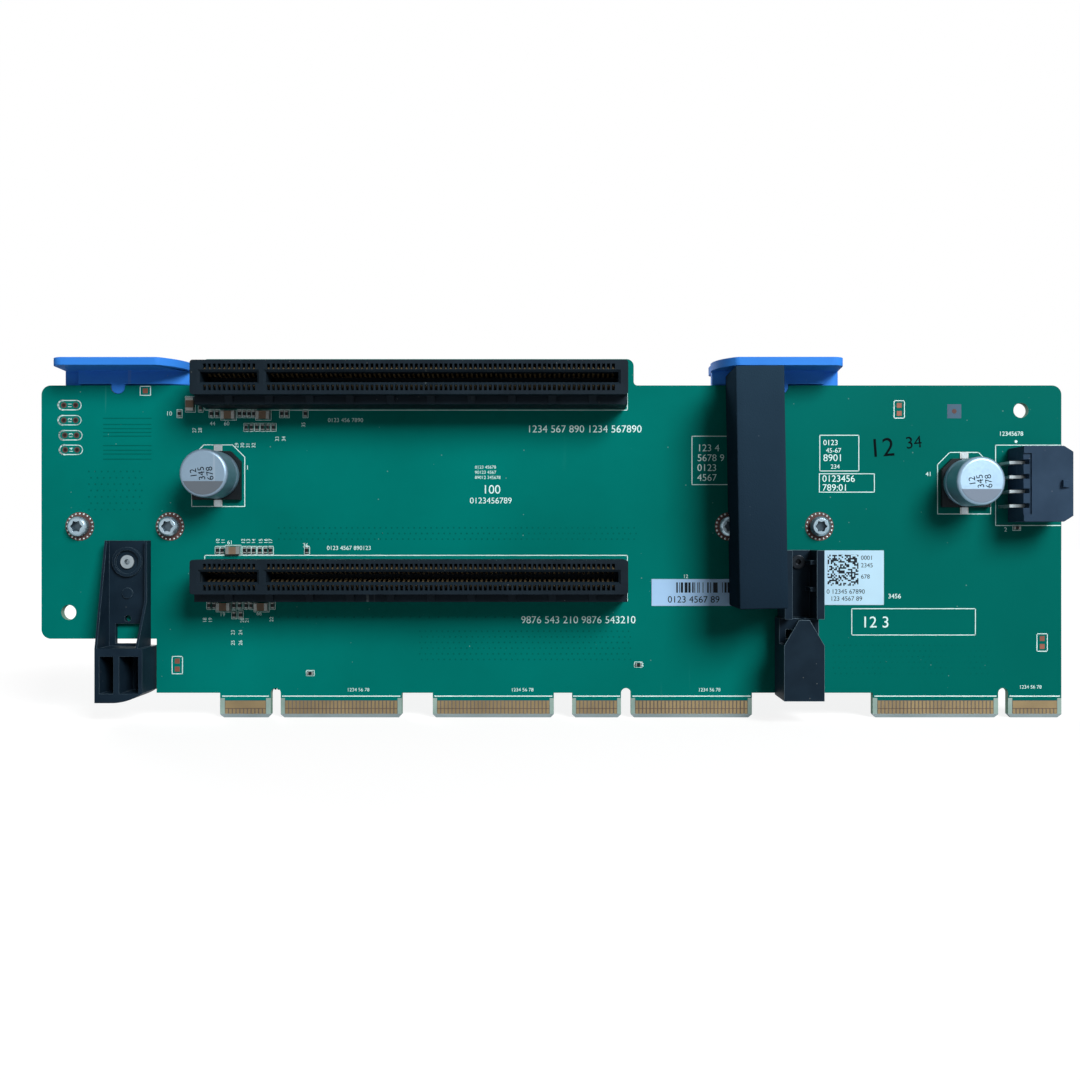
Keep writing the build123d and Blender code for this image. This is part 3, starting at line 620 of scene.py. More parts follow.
for node in both("handle"):
    softened(node, 0.25, 3, front=0.6)
for node in both("guide"):
    softened(node, 0.14, edge=guide_edge_highlight)
for node in SLOTS:
    softened(node, 0.05, 1, slot_edge_highlight)
for node in both("capacitor_can"):
    softened(node, 0.3, 4)
for node in both("capacitor_base"):
    softened(node, 0.12)
softened("power_socket_housing", 0.15, room=0.4)
screws = softened("handle_screws", 0.12)
rivets = softened("guide_rivets", 0.12)
# The right rivet takes the dark material: painted shade.
rivets.data.materials.append(rivet_painted_shade)
for face in rivets.data.polygons:
    face.material_index = int(face.center.x > 0)

# %% [markdown]
# The foam block was cut from a sheet, so its edges are soft and its faces a little uneven. A rounded
# copy is divided finely and pushed along its normals by a cloud texture, by less than a tenth of a
# millimetre.

# %% The foam block
FOAM_ROUND = 0.5
FOAM_CUTS = 6
FOAM_PUSH = 0.12 * MM
FOAM_LEVEL = 0.6
FOAM_SMOOTH = radians(50)
CLOUD_SIZE = 4 * MM

foam = softened("foam_block", FOAM_ROUND, 3)
pick(foam)
edit()
bpy.ops.mesh.customdata_custom_splitnormals_clear()
bpy.ops.mesh.quads_convert_to_tris()
bpy.ops.mesh.subdivide(number_cuts=FOAM_CUTS)
leave()
clouds = bpy.data.textures.new("foam unevenness", "CLOUDS")
clouds.noise_scale = CLOUD_SIZE
push = {"strength": FOAM_PUSH, "mid_level": FOAM_LEVEL}
shaped(foam, "DISPLACE", texture=clouds, texture_coords="LOCAL", **push)
bpy.ops.object.shade_smooth_by_angle(angle=FOAM_SMOOTH)
print("foam faces:", len(foam.data.polygons))

# %% [markdown]
# Inside every window of a slot stands a spring contact, and its tip shines at the inner edge. Below,
# in the mouth, the same contact bulges towards the card. A plane is flattened to an edge, which is
# then extruded from point to point to a bent strip, one for the window and one for the mouth.

# %% One spring contact
CONTACT_WIDTH = 0.4 * MM
CONTACT_THICKNESS = 0.1 * MM
WELD = 0.001 * MM
WINDOW_STRIP = ((2.5, 8.95), (2.3, 9.9), (1.8, 10.75), (1.68, 11.0))
MOUTH_STRIP = ((1.02, 3.6), (0.8, 5.0), (0.5, 6.6), (0.75, 7.6), (1.0, 8.3))
board_low, board_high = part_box("circuit_board")
FRONT = board_low.y
BACK = board_high.y


def ribbon(points, width):
    """Bent strip across X along points of Z and height in millimetres over the board's front."""
    pick()
    start = (0, FRONT - points[0][1] * MM, points[0][0] * MM)
    bpy.ops.mesh.primitive_plane_add(size=width, location=start)
    edit()
    bpy.ops.transform.resize(value=(1, 0, 1))
    bpy.ops.mesh.remove_doubles(threshold=WELD)
    for (z, height), (next_z, next_height) in zip(points, points[1:]):
        step = (0, (height - next_height) * MM, (next_z - z) * MM)
        bpy.ops.mesh.extrude_region_move(TRANSFORM_OT_translate={"value": step})
    leave()
    bpy.ops.object.transform_apply(location=True, rotation=True, scale=True)
    return bpy.context.object


def half_contact():
    """One contact of the upper row at the origin."""
    strips = [ribbon(WINDOW_STRIP, CONTACT_WIDTH), ribbon(MOUTH_STRIP, CONTACT_WIDTH)]
    contact = joined(strips, "contact")
    return shaped(contact, "SOLIDIFY", thickness=CONTACT_THICKNESS, offset=0.0)


print("contact strips:", len(WINDOW_STRIP), "and", len(MOUTH_STRIP), "points")

# %% [markdown]
# An Array modifier repeats the contact along the two groups on both sides of the key. A copy mirrored
# by a negative scale makes the lower row, and that turns its faces inside out, so the normals of the
# joined rows are recalculated.

# %% Rows of spring contacts
WINDOW_PITCH = 1.0 * MM
KEY_PITCH = 3.0 * MM
SHORT_COUNT = 11
LONG_COUNT = 71
SLOT_HALF_WIDTH = 3.5 * MM


def row_of(piece, count, pitch):
    """A piece repeated along X."""
    settings = {"use_relative_offset": False, "use_constant_offset": True}
    return shaped(piece, "ARRAY", count=count, constant_offset_displace=(pitch, 0, 0), **settings)


def slot_start(node):
    """X of a slot's first contact and Z of its mouth."""
    low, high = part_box(node)
    return (low.x + high.x) / 2 - row_length / 2, high.z - SLOT_HALF_WIDTH


row_length = WINDOW_PITCH * (SHORT_COUNT + LONG_COUNT - 2) + KEY_PITCH
long_start = WINDOW_PITCH * (SHORT_COUNT - 1) + KEY_PITCH
for node in SLOTS:
    x, z = slot_start(node)
    rows = []
    for count, start in ((SHORT_COUNT, 0.0), (LONG_COUNT, long_start)):
        upper = row_of(half_contact(), count, WINDOW_PITCH)
        lower = copied(upper)
        bpy.ops.transform.resize(value=(1, 1, -1), center_override=(0, 0, 0))
        for piece in (upper, lower):
            pick(piece)
            bpy.ops.transform.translate(value=(x + start, 0, z))
            rows.append(piece)
    contacts = joined(rows, node.replace("housing", "contacts"))
    edit()
    bpy.ops.mesh.normals_make_consistent(inside=False)
    leave()
    finished(contacts, gold)

# %% [markdown]
# On the back, the slots' tails come through the board in staggered rows and end in small solder cones.
# One cone is made with a pin tip by inset and extrude, then repeated at twice the contact pitch.

# %% Solder tails behind the slots
TAIL_ROWS = ((3.2, 0.0), (1.2, 1.0), (-1.2, 0.0), (-3.2, 1.0))
TAIL_RADIUS = 0.48 * MM
TAIL_TIP = 0.22 * MM
TAIL_HEIGHT = 0.6 * MM
TAIL_COUNT = 41
TAIL_SIDES = 10
PIN_INSET = TAIL_TIP * 0.3
PIN_REACH = TAIL_HEIGHT * 0.6


def solder_tail(x, z):
    """Solder cone on the board's back with the cut pin standing out of it."""
    pick()
    place = (x, BACK + TAIL_HEIGHT / 2, z)
    shape = {"vertices": TAIL_SIDES, "radius1": TAIL_RADIUS, "radius2": TAIL_TIP, "depth": TAIL_HEIGHT}
    bpy.ops.mesh.primitive_cone_add(location=place, rotation=(radians(-90), 0, 0), **shape)
    tail = bpy.context.object
    bpy.ops.object.transform_apply(location=True, rotation=True, scale=True)
    edit("FACE", "DESELECT")
    leave()
    for face in tail.data.polygons:
        face.select = face.normal.y > 0.9
    bpy.ops.object.mode_set(mode="EDIT")
    bpy.ops.mesh.inset(thickness=PIN_INSET)
    bpy.ops.mesh.extrude_region_move(TRANSFORM_OT_translate={"value": (0, PIN_REACH, 0)})
    bpy.ops.mesh.select_mode(type="VERT")
    leave()
    return tail


for node in SLOTS:
    x, z = slot_start(node)
    tails = []
    for offset, shift in TAIL_ROWS:
        tail = solder_tail(x + shift * MM, z + offset * MM)
        tails.append(row_of(tail, TAIL_COUNT, 2 * WINDOW_PITCH))
    tails = finished(joined(tails, node.replace("housing", "tails")), solder)
    pick(tails)
    bpy.ops.object.shade_smooth_by_angle(angle=SMOOTH)

# %% [markdown]
# Chips, screws and fingers are groups of solids in one CAD node each, so the places of the single ones
# are read from the node: a merged copy is separated into loose parts, their boxes are noted and the
# copies removed.

# %% Places of the loose solids of a node
def loose_boxes(node):
    """Lowest and highest corners of each solid in a CAD node."""
    copy_of(node, "probe")
    bpy.ops.mesh.separate(type="LOOSE")
    leave()
    parts = list(bpy.context.selected_objects)
    boxes = []
    for part in parts:
        places = [vertex.co for vertex in part.data.vertices]
        low = [min(place[axis] for place in places) for axis in range(3)]
        high = [max(place[axis] for place in places) for axis in range(3)]
        boxes.append((low, high))
    pick(*parts)
    bpy.ops.object.delete()
    return boxes


chip_boxes = loose_boxes("chip_resistors") + loose_boxes("chip_capacitors")
screw_boxes = loose_boxes("handle_screws")
print("chips:", len(chip_boxes), "screws:", len(screw_boxes))

# %% [markdown]
# A chip part is a ceramic body with a tinned cap on both ends, soldered to two pads. Each cap is a cube
# a hair larger than the body's end, each pad a thin one a little larger still, and a bevel rounds
# their edges once all of them are joined.

# %% End caps and solder pads of the chips
CAP_SHARE = 0.24
CAP_SKIN = 0.03 * MM
CAP_ROUND = 0.05
PAD_MARGIN = 0.07 * MM
PAD_HEIGHT = 0.07 * MM
PAD_ROUND = 0.03


def block(low, high):
    """Cube by its corners."""
    pick()
    middle = [(start + end) / 2 for start, end in zip(low, high)]
    size = [end - start for start, end in zip(low, high)]
    bpy.ops.mesh.primitive_cube_add(size=1, location=middle, scale=size)
    return bpy.context.object


caps = []
pads = []
for low, high in chip_boxes:
    axis = 0 if high[0] - low[0] > high[2] - low[2] else 2
    reach = (high[axis] - low[axis]) * CAP_SHARE
    for start in (low[axis] - CAP_SKIN, high[axis] - reach + CAP_SKIN):
        cap_low = [corner - CAP_SKIN for corner in low]
        cap_high = [high[0] + CAP_SKIN, high[1], high[2] + CAP_SKIN]
        cap_low[axis] = start
        cap_high[axis] = start + reach
        caps.append(block(cap_low, cap_high))
        pad_low = [cap_low[0] - PAD_MARGIN, FRONT - PAD_HEIGHT, cap_low[2] - PAD_MARGIN]
        pad_high = [cap_high[0] + PAD_MARGIN, FRONT, cap_high[2] + PAD_MARGIN]
        pads.append(block(pad_low, pad_high))
rimmed(caps, "chip_end_caps", CAP_ROUND, chip_cap, 2)
rimmed(pads, "chip_pads", PAD_ROUND, chip_cap, 2)

# %% [markdown]
# Round each screw the board has a brownish pad with a ring of about twenty solder dots that bite into
# the screw's seat. One flattened ball is made and turned round the screw with the spin operator. The
# faces below the rim of a screw's head, in its star recess, take a darker metal as painted shade.

# %% Screw pads with their solder dots
RING_RADIUS = 3.05 * MM
RING_HEIGHT = 0.03 * MM
THIN_RIM = 0.01
DOT_RADIUS = 0.24 * MM
DOT_CIRCLE = 2.72 * MM
DOT_COUNT = 20
DOT_FLATTENING = 0.7
RECESS_RADIUS = 1.5 * MM
RECESS_LIP = 0.2 * MM
HEAD_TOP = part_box("handle_screws")[0].y


def disc(x, z, radius, height, vertices=32):
    """Flat round pad on the board's front."""
    pick()
    place = (x, FRONT - height / 2, z)
    shape = {"vertices": vertices, "radius": radius, "depth": height}
    bpy.ops.mesh.primitive_cylinder_add(location=place, rotation=(radians(90), 0, 0), **shape)
    return bpy.context.object


def dot_ring(x, z):
    """Ring of solder dots round a screw."""
    pick()
    start = (x, FRONT, z + DOT_CIRCLE)
    bpy.ops.mesh.primitive_uv_sphere_add(segments=10, ring_count=6, radius=DOT_RADIUS, location=start)
    ring = bpy.context.object
    edit()
    bpy.ops.transform.resize(value=(1, DOT_FLATTENING, 1), center_override=start)
    turn = {"steps": DOT_COUNT, "angle": 2 * pi, "center": (x, FRONT, z), "axis": (0, 1, 0)}
    bpy.ops.mesh.spin(dupli=True, **turn)
    bpy.ops.mesh.select_all(action="SELECT")
    bpy.ops.mesh.remove_doubles(threshold=WELD)
    bpy.ops.mesh.normals_make_consistent(inside=False)
    leave()
    return ring


screw_middles = [((low[0] + high[0]) / 2, (low[2] + high[2]) / 2) for low, high in screw_boxes]
rings = [disc(x, z, RING_RADIUS, RING_HEIGHT, vertices=48) for x, z in screw_middles]
rimmed(rings, "screw_pads", THIN_RIM, ring_stain)
dots = finished(joined([dot_ring(x, z) for x, z in screw_middles], "screw_pad_dots"), solder)
pick(dots)
bpy.ops.object.shade_smooth()
# Faces in the star recess take the darker metal: painted shade.
screws.data.materials.append(recess_shade_metal)
for face in screws.data.polygons:
    x, y, z = face.center
    near = min(hypot(x - middle[0], z - middle[1]) for middle in screw_middles)
    face.material_index = int(near < RECESS_RADIUS and HEAD_TOP + RECESS_LIP < y < FRONT)

# %% [markdown]
# The white lines on the board are screen-printed ink. Each line is a plane turned to face the viewer;
# all of them are joined, and a Solidify modifier gives the ink its thickness. A strip is longer than
# its run by its own width, so the strips of an outline meet in full corners.

# %% Helpers for printed strips
INK_HEIGHT = 0.02 * MM
LINE = 0.17 * MM


def strip(start, end, width=LINE):
    """Flat strip on the board's front between two points of X and Z in millimetres."""
    pick()
    run = (end[0] - start[0], end[1] - start[1])
    middle = ((start[0] + end[0]) / 2 * MM, FRONT, (start[1] + end[1]) / 2 * MM)
    turn = (radians(90), -atan2(run[1], run[0]), 0)
    bpy.ops.mesh.primitive_plane_add(size=1, location=middle, rotation=turn)
    bpy.context.object.scale = (hypot(*run) * MM + width, width, 1)
    return bpy.context.object


def path(points, width=LINE, closed=True):
    """Strips from point to point."""
    ends = points[1:] + points[:1] if closed else points[1:]
    return [strip(start, end, width) for start, end in zip(points, ends)]


def frame_line(left, right, low, high, cut=0.0, width=LINE):
    """Rectangular outline, with its top corners cut off if asked."""
    points = [(left, low), (right, low), (right, high - cut), (right - cut, high)]
    points += [(left + cut, high), (left, high - cut)]
    if not cut:
        points = [(left, low), (right, low), (right, high), (left, high)]
    return path(points, width)


def in_mm(node):
    """Left, right, low and high of a CAD node in millimetres."""
    low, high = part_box(node)
    return low.x / MM, high.x / MM, low.z / MM, high.z / MM


def printed(strips, name, material, height=INK_HEIGHT):
    """Strips joined and given the ink's thickness."""
    piece = joined(strips, name)
    shaped(piece, "SOLIDIFY", thickness=height, offset=1.0)
    return finished(piece, material)


print("ink lines are", round(LINE / MM, 2), "mm wide")

# %% [markdown]
# The printed outlines follow what they frame: slots, capacitors, the socket and every chip stand
# inside a line with a small margin all round. Four frames hold only printed notes, and the foam
# covers the end of one of them.

# %% Printed outlines
SLOT_SIDE = 0.45
SLOT_FOOT = 0.3
SLOT_HEAD = 0.75
BASE_SIDE = 0.5
BASE_END = 1.4
BASE_CUT = 2.6
SOCKET_SIDE = 2.6
SOCKET_FOOT = 0.7
SOCKET_HEAD = 0.8
EDGE_GAP = 0.2
NOTE_FRAMES = ((57.1, 65.4, 52.5, 60.1), (57.0, 68.7, 48.0, 51.9), (63.9, 90.2, 17.6, 23.2))
COVERED_NOTE = (29.9, 49.6, 59.9)
UNDER_FOAM = 0.5
CHIP_SIDE = 0.28
CHIP_END = 0.3
CHIP_LINE = 0.11 * MM

lines = []
for node in SLOTS:
    left, right, low, high = in_mm(node)
    lines += frame_line(left - SLOT_SIDE, right + SLOT_SIDE, low - SLOT_FOOT, high + SLOT_HEAD)
for node in both("capacitor_base"):
    left, right, low, high = in_mm(node)
    lines += frame_line(left - BASE_SIDE, right + BASE_SIDE, low - BASE_END, high + BASE_END, BASE_CUT)
left, right, low, high = in_mm("power_socket_housing")
left, right = left - SOCKET_SIDE, board_high.x / MM - EDGE_GAP
low, high = low - SOCKET_FOOT, high + SOCKET_HEAD
lines += path([(right, high), (left, high), (left, low), (right, low)], LINE, False)
left, low, high = COVERED_NOTE
right = foam_low.x / MM + UNDER_FOAM
lines += path([(right, high), (left, high), (left, low), (right, low)], LINE, False)
for sides in NOTE_FRAMES:
    lines += frame_line(*sides)
for low, high in chip_boxes:
    left, right = low[0] / MM - CHIP_SIDE, high[0] / MM + CHIP_SIDE
    lines += frame_line(left, right, low[2] / MM - CHIP_END, high[2] / MM + CHIP_END, width=CHIP_LINE)
printed(lines, "printed_outlines", ink)

# %% [markdown]
# Above every tongue runs a short printed line. The tongues aren't nodes of their own, so their ends
# are found from the fingers: a step between neighbouring fingers that is wider than the pitch starts
# the next tongue.

# %% Printed lines over the tongues
FINGER_STEP = 1.2
TONGUE_LINE = 4.6
TONGUE_LINE_WIDTH = 0.22 * MM
TONGUE_OVERHANG = 0.6

tongues = []
for low, high in sorted(loose_boxes("front_edge_fingers"), key=lambda corners: corners[0][0]):
    left, right = low[0] / MM, high[0] / MM
    if tongues and left - tongues[-1][1] < FINGER_STEP:
        tongues[-1][1] = max(right, tongues[-1][1])
    else:
        tongues.append([left, right])
lines = []
for left, right in tongues:
    start = (left - TONGUE_OVERHANG, TONGUE_LINE)
    lines.append(strip(start, (right + TONGUE_OVERHANG, TONGUE_LINE), TONGUE_LINE_WIDTH))
printed(lines, "printed_tongue_lines", ink)
print("tongues:", [[round(left, 1), round(right, 1)] for left, right in tongues])

# %% [markdown]
# The fingers are plated in two steps, so a thin dark break runs across them two thirds of the way down.
# It is a very thin bare strip over each tongue. At both sides of a tongue the mask ends early and
# leaves a pale rim of laminate, out to the side that is found from the board's own vertices.

# %% Plating break across the fingers and pale rims beside them
BREAK_Z = 1.97
BREAK_WIDTH = 0.14 * MM
BREAK_HEIGHT = 0.006 * MM
FINGER_HEIGHT = 0.05 * MM
SIDE_LOW = 0.5 * MM
SIDE_HIGH = 0.9 * MM
RIM_LOW = 0.82
RIM_HIGH = 4.2
RIM_GAP = 0.12
RIM_HEIGHT = 0.01 * MM

lines = [strip((left, BREAK_Z), (right, BREAK_Z), BREAK_WIDTH) for left, right in tongues]
for piece in lines:
    piece.location.y -= FINGER_HEIGHT
printed(lines, "finger_break_lines", bare_break, BREAK_HEIGHT)
corners = [vertex.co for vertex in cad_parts["circuit_board"].data.vertices]
sides = {round(corner.x / MM, 3) for corner in corners if SIDE_LOW < corner.z < SIDE_HIGH}
lines = []
for left, right in tongues:
    outer_left = max(x for x in sides if x < left)
    outer_right = min(x for x in sides if x > right)
    for inner, outer in ((left, outer_left), (right, outer_right)):
        width = abs(outer - inner) - RIM_GAP
        x = outer + (width if outer < inner else -width) / 2
        lines.append(strip((x, RIM_LOW + width / 2), (x, RIM_HIGH - width / 2), width * MM))
printed(lines, "tongue_rims", pale_rim, RIM_HEIGHT)

# %% [markdown]
# At the left edge sit four test points: capsule-shaped outlines, bold at the left, with two small holes
# each, ringed in brown. The holes are flat dark discs, painted shade for their depth. The capsule's round
# ends come from a formula.

# %% Test points
TEST_POINTS = ((-102.5, 66.5), (-102.5, 63.3), (-102.3, 60.1), (-102.2, 57.0))
CAPSULE_HALF = 1.45
CAPSULE_RADIUS = 1.0
ARC_STEPS = 8
BOLD_LINE = 0.3 * MM
HOLE_SIDE = 1.25
STAIN_RADIUS = 0.62 * MM
STAIN_HEIGHT = 0.025 * MM
OPEN_RADIUS = 0.36 * MM
OPEN_HEIGHT = 0.035 * MM


def half_round(x, z, start):
    """Points of half a circle from a start angle."""
    angles = [start + pi * step / ARC_STEPS for step in range(ARC_STEPS + 1)]
    return [(x + CAPSULE_RADIUS * cos(turn), z + CAPSULE_RADIUS * sin(turn)) for turn in angles]


lines = []
holes = []
rings = []
for x, z in TEST_POINTS:
    right_end = half_round(x + CAPSULE_HALF, z, -pi / 2)
    left_end = half_round(x - CAPSULE_HALF, z, pi / 2)
    lines += path(left_end, BOLD_LINE, False)
    lines += path(left_end[-1:] + right_end + left_end[:1], LINE, False)
    for side in (-HOLE_SIDE, HOLE_SIDE):
        rings.append(disc((x + side) * MM, z * MM, STAIN_RADIUS, STAIN_HEIGHT, vertices=20))
        holes.append(disc((x + side) * MM, z * MM, OPEN_RADIUS, OPEN_HEIGHT, vertices=16))
printed(lines, "test_point_outlines", ink)
rimmed(rings, "test_point_rings", THIN_RIM, ring_stain)
rimmed(holes, "test_point_holes", THIN_RIM, hole_painted_shade)

# %% [markdown]
# Bare copper pads in white boxes mark spots that were left without a part, and a square grey pad
# with a copper dot serves the placing machine. They are thin blocks with a bevelled edge.

# %% Bare pads
PAD_PAIRS = ((-79.6, 11.2), (74.0, 65.6), (104.4, 16.0))
LONE_PAD = (-86.4, 69.55)
BOX_HALF_WIDTH = 1.1
PAIR_HALF_HEIGHT = 1.85
LONE_HALF_HEIGHT = 0.95
COPPER_SIDE = 1.05
COPPER_STEP = 0.85
COPPER_HEIGHT = 0.04
COPPER_RIM = 0.015
TARGET = (85.7, 65.2)
TARGET_SIDE = 3.0
TARGET_HEIGHT = 0.02
TARGET_RIM = 0.008
TARGET_DOT = 0.5


def flat_pad(x, z, width, height, thickness):
    """Thin block on the board's front, in millimetres."""
    low = ((x - width / 2) * MM, FRONT - thickness * MM, (z - height / 2) * MM)
    return block(low, ((x + width / 2) * MM, FRONT, (z + height / 2) * MM))


def box_round(x, z, half_height):
    """Printed box round a point."""
    return frame_line(x - BOX_HALF_WIDTH, x + BOX_HALF_WIDTH, z - half_height, z + half_height)


lines = []
places = []
for x, z in PAD_PAIRS:
    lines += box_round(x, z, PAIR_HALF_HEIGHT)
    places += [(x, z - COPPER_STEP), (x, z + COPPER_STEP)]
lines += box_round(*LONE_PAD, LONE_HALF_HEIGHT)
places.append(LONE_PAD)
printed(lines, "pad_outlines", ink)
bare_pads = [flat_pad(x, z, COPPER_SIDE, COPPER_SIDE, COPPER_HEIGHT) for x, z in places]
rimmed(bare_pads, "copper_pads", COPPER_RIM, copper)
square = flat_pad(*TARGET, TARGET_SIDE, TARGET_SIDE, TARGET_HEIGHT)
rimmed([square], "target_pads", TARGET_RIM, grey_pad)
dot = disc(TARGET[0] * MM, TARGET[1] * MM, TARGET_DOT * MM, COPPER_HEIGHT * MM)
rimmed([dot], "target_dots", COPPER_RIM, ring_stain)

# %% [markdown]
# Where a capacitor's leads meet the board, solder stands up in a bright fillet: a thin block with a wide
# bevel. Each pin of the power socket ends in a solder cone on the back, like the slots' tails.

# %% Solder at the leads and pins
FILLET_WIDTH = 1.8
FILLET_LENGTH = 1.5
FILLET_HEIGHT = 0.16
FILLET_ROUND = 0.075
FILLET_INSET = 0.7
PIN_HALF = 0.32 * MM

fillets = []
for node in both("capacitor_leads"):
    left, right, low, high = in_mm(node)
    for z in (low + FILLET_INSET, high - FILLET_INSET):
        fillets.append(flat_pad((left + right) / 2, z, FILLET_WIDTH, FILLET_LENGTH, FILLET_HEIGHT))
rimmed(fillets, "lead_solder", FILLET_ROUND, solder, 3)
pin_boxes = loose_boxes("power_socket_pins")
cones = [solder_tail(low[0] + PIN_HALF, (low[2] + high[2]) / 2) for low, high in pin_boxes]
finished(joined(cones, "socket_tail_solder"), solder)

# %% [markdown]
# Copper traces show through the mask as slightly darker lines, and plated holes as small dots. A few
# straight runs at the left and fields of dots are enough to keep the green from looking empty. A field
# is given by its left and top, its rows and columns and their step, and every other row is shifted.

# %% Traces and covered holes
TRACE_WIDTH = 0.22 * MM
TRACE_HEIGHT = 0.012 * MM
TRACE_LEFT = -95.3
TRACE_RIGHT = -85.2
TRACE_LEVELS = (63.7, 62.4, 61.5, 60.7, 59.9, 57.9, 56.9, 56.1, 55.0)
HOLE_RADIUS = 0.2 * MM
HOLE_RIM = 0.004 * MM
RIM_TURN = radians(60)
HOLE_FIELDS = (
    (-98.4, 52.4, 7, 9, 1.35), (60.0, 15.4, 6, 28, 1.2), (-58.0, 40.4, 3, 64, 1.2),
    (-28.0, 18.4, 6, 38, 1.2), (-66.0, 21.4, 1, 40, 2.0),
)


def covered(dots, name):
    """Dots joined, with a bevel round their rims but not along their sides."""
    rim = {"width": HOLE_RIM, "segments": 1, "limit_method": "ANGLE", "angle_limit": RIM_TURN}
    return finished(shaped(joined(dots, name), "BEVEL", **rim), trace_mask)


traces = [strip((TRACE_LEFT, z), (TRACE_RIGHT, z), TRACE_WIDTH) for z in TRACE_LEVELS]
printed(traces, "trace_lines", trace_mask, TRACE_HEIGHT)
dots = []
for left, top, rows, columns, step in HOLE_FIELDS:
    for row in range(rows):
        x = left + step / 3 * (row % 2)
        dot = disc(x * MM, (top - step * row) * MM, HOLE_RADIUS, TRACE_HEIGHT, vertices=8)
        dots.append(row_of(dot, columns, step * MM))
covered(dots, "covered_holes")

# %% [markdown]
# Next to parts and slots a board carries small printed marks. Only plain numbers are used here, each
# given by its digits, its place and its size. Text is added as a font object, turned to face the
# viewer, made a mesh and then joined.

# %% Printed numbers
NUMBERS = (
    ("1234 567 890 1234 567890", -5.2, 60.7, 2.2), ("9876 543 210 9876 543210", -6.5, 20.1, 2.2),
    ("0123 456 7890", -47.6, 62.9, 1.25), ("0123 4567 890123", -47.8, 35.7, 1.25),
    ("100", -14.7, 47.7, 2.6), ("0123456789", -17.4, 45.6, 1.8), ("0123 45678", -16.3, 53.0, 0.95),
    ("90123 4567", -16.3, 51.9, 0.95), ("89012 345678", -16.3, 50.8, 0.95), ("12345678", 95.2, 60.0, 1.3),
    (".", 98.3, 58.5, 5.0), ("2", 96.3, 39.6, 1.3), ("12", 28.0, 29.7, 1.1), ("3456", 71.6, 25.4, 1.4),
    ("12 3", 65.9, 19.2, 3.4), ("10", -82.0, 64.3, 1.3), ("1", -65.0, 52.8, 1.3), ("41", 79.6, 51.4, 1.3),
    ("0123", 57.8, 58.0, 1.6), ("45-67", 58.4, 56.4, 1.4), ("8901", 57.8, 54.6, 2.1),
    ("234", 59.4, 53.0, 1.3), ("0123456", 57.6, 50.2, 2.0), ("789:01", 57.6, 48.3, 2.0),
    ("123 4", 31.0, 56.7, 2.1), ("5678 9", 31.0, 54.6, 2.1), ("0123", 31.0, 52.5, 2.1),
    ("4567", 31.0, 50.4, 2.1), ("1234 56 78", -43.5, 5.6, 1.05), ("1234 56 78", -8.6, 5.6, 1.05),
    ("1234 56 78", 31.2, 5.6, 1.05), ("1234 56 78", 99.5, 6.2, 1.05), ("36", -52.9, 36.3, 1.2),
    ("61", -69.0, 36.9, 1.2), ("19", -70.6, 21.6, 1.2), ("66", -62.8, 21.8, 1.2), ("60", -69.7, 62.2, 1.2),
    ("44", -72.7, 62.2, 1.2),
)
UPRIGHT = (
    (-70.6, 37.0), (-69.5, 37.0), (-65.2, 37.0), (-64.1, 37.0), (-63.0, 37.0), (-61.5, 37.0), (-60.4, 37.0),
    (-59.4, 37.0), (-73.4, 20.2), (-72.2, 20.2), (-65.4, 20.2), (-64.4, 20.2), (-59.2, 20.4), (-67.4, 17.6),
    (-65.8, 17.6), (-67.4, 15.4), (-65.8, 15.4), (-75.6, 60.6), (-74.4, 60.6), (-66.6, 57.4), (-65.4, 57.4),
    (-64.2, 57.4), (-63.0, 57.4), (-58.0, 58.8), (-56.6, 58.8), (-52.4, 61.8), (-51.0, 9.0), (19.6, 10.8),
)
UPRIGHT_SIZE = 1.1
TEST_SHIFT = (0.4, -0.6)


def number(text, x, z, size, y=FRONT, turn=0):
    """Number on the board's front, in millimetres and degrees."""
    pick()
    place = (x * MM, y, z * MM)
    bpy.ops.object.text_add(location=place, rotation=(radians(90), -radians(turn), 0))
    bpy.context.object.data.body = text
    bpy.context.object.data.size = size * MM
    bpy.ops.object.convert(target="MESH")
    return bpy.context.object


def counted(places, first):
    """Upright numbers that count on from a first one."""
    numbered = enumerate(places, first)
    return [number(str(count), x, z, UPRIGHT_SIZE, turn=90) for count, (x, z) in numbered]


words = [number(*item) for item in NUMBERS]
words += counted(UPRIGHT, 10)
words += counted([(x + TEST_SHIFT[0], z + TEST_SHIFT[1]) for x, z in TEST_POINTS], 11)
printed(words, "printed_numbers", ink)

# %% [markdown]
# Darker numbers stand on the stickers, on the tops of the cans and, stamped by hand and so a little
# askew, on the board. They are made the same way, each at the height of what carries it.

# %% Dark numbers
SERIAL_LINE = ("0123 4567 89", 3.4, 0.7, 2.0)
SQUARE_TOP_LINES = (("0001", 7.7, 2.0), ("2345", 7.7, 3.6), ("678", 7.7, 6.0))
SQUARE_LOW_LINES = (("0 12345 67890", 0.4, 2.4), ("123 4567 89", 1.2, 0.9))
SQUARE_TOP_SIZE = 1.3
SQUARE_LOW_SIZE = 1.35
STAMPS = (("12", 67.6, 55.4, 5.6, 4), ("34", 75.4, 57.2, 3.6, 6))
CAN_LINES = (("12", -1.2, -0.9), ("345", 0.5, -1.4), ("678", 2.2, -1.4))
CAN_SIZE = 1.9
CAN_TURN = 98
DARK_HEIGHT = 0.01 * MM

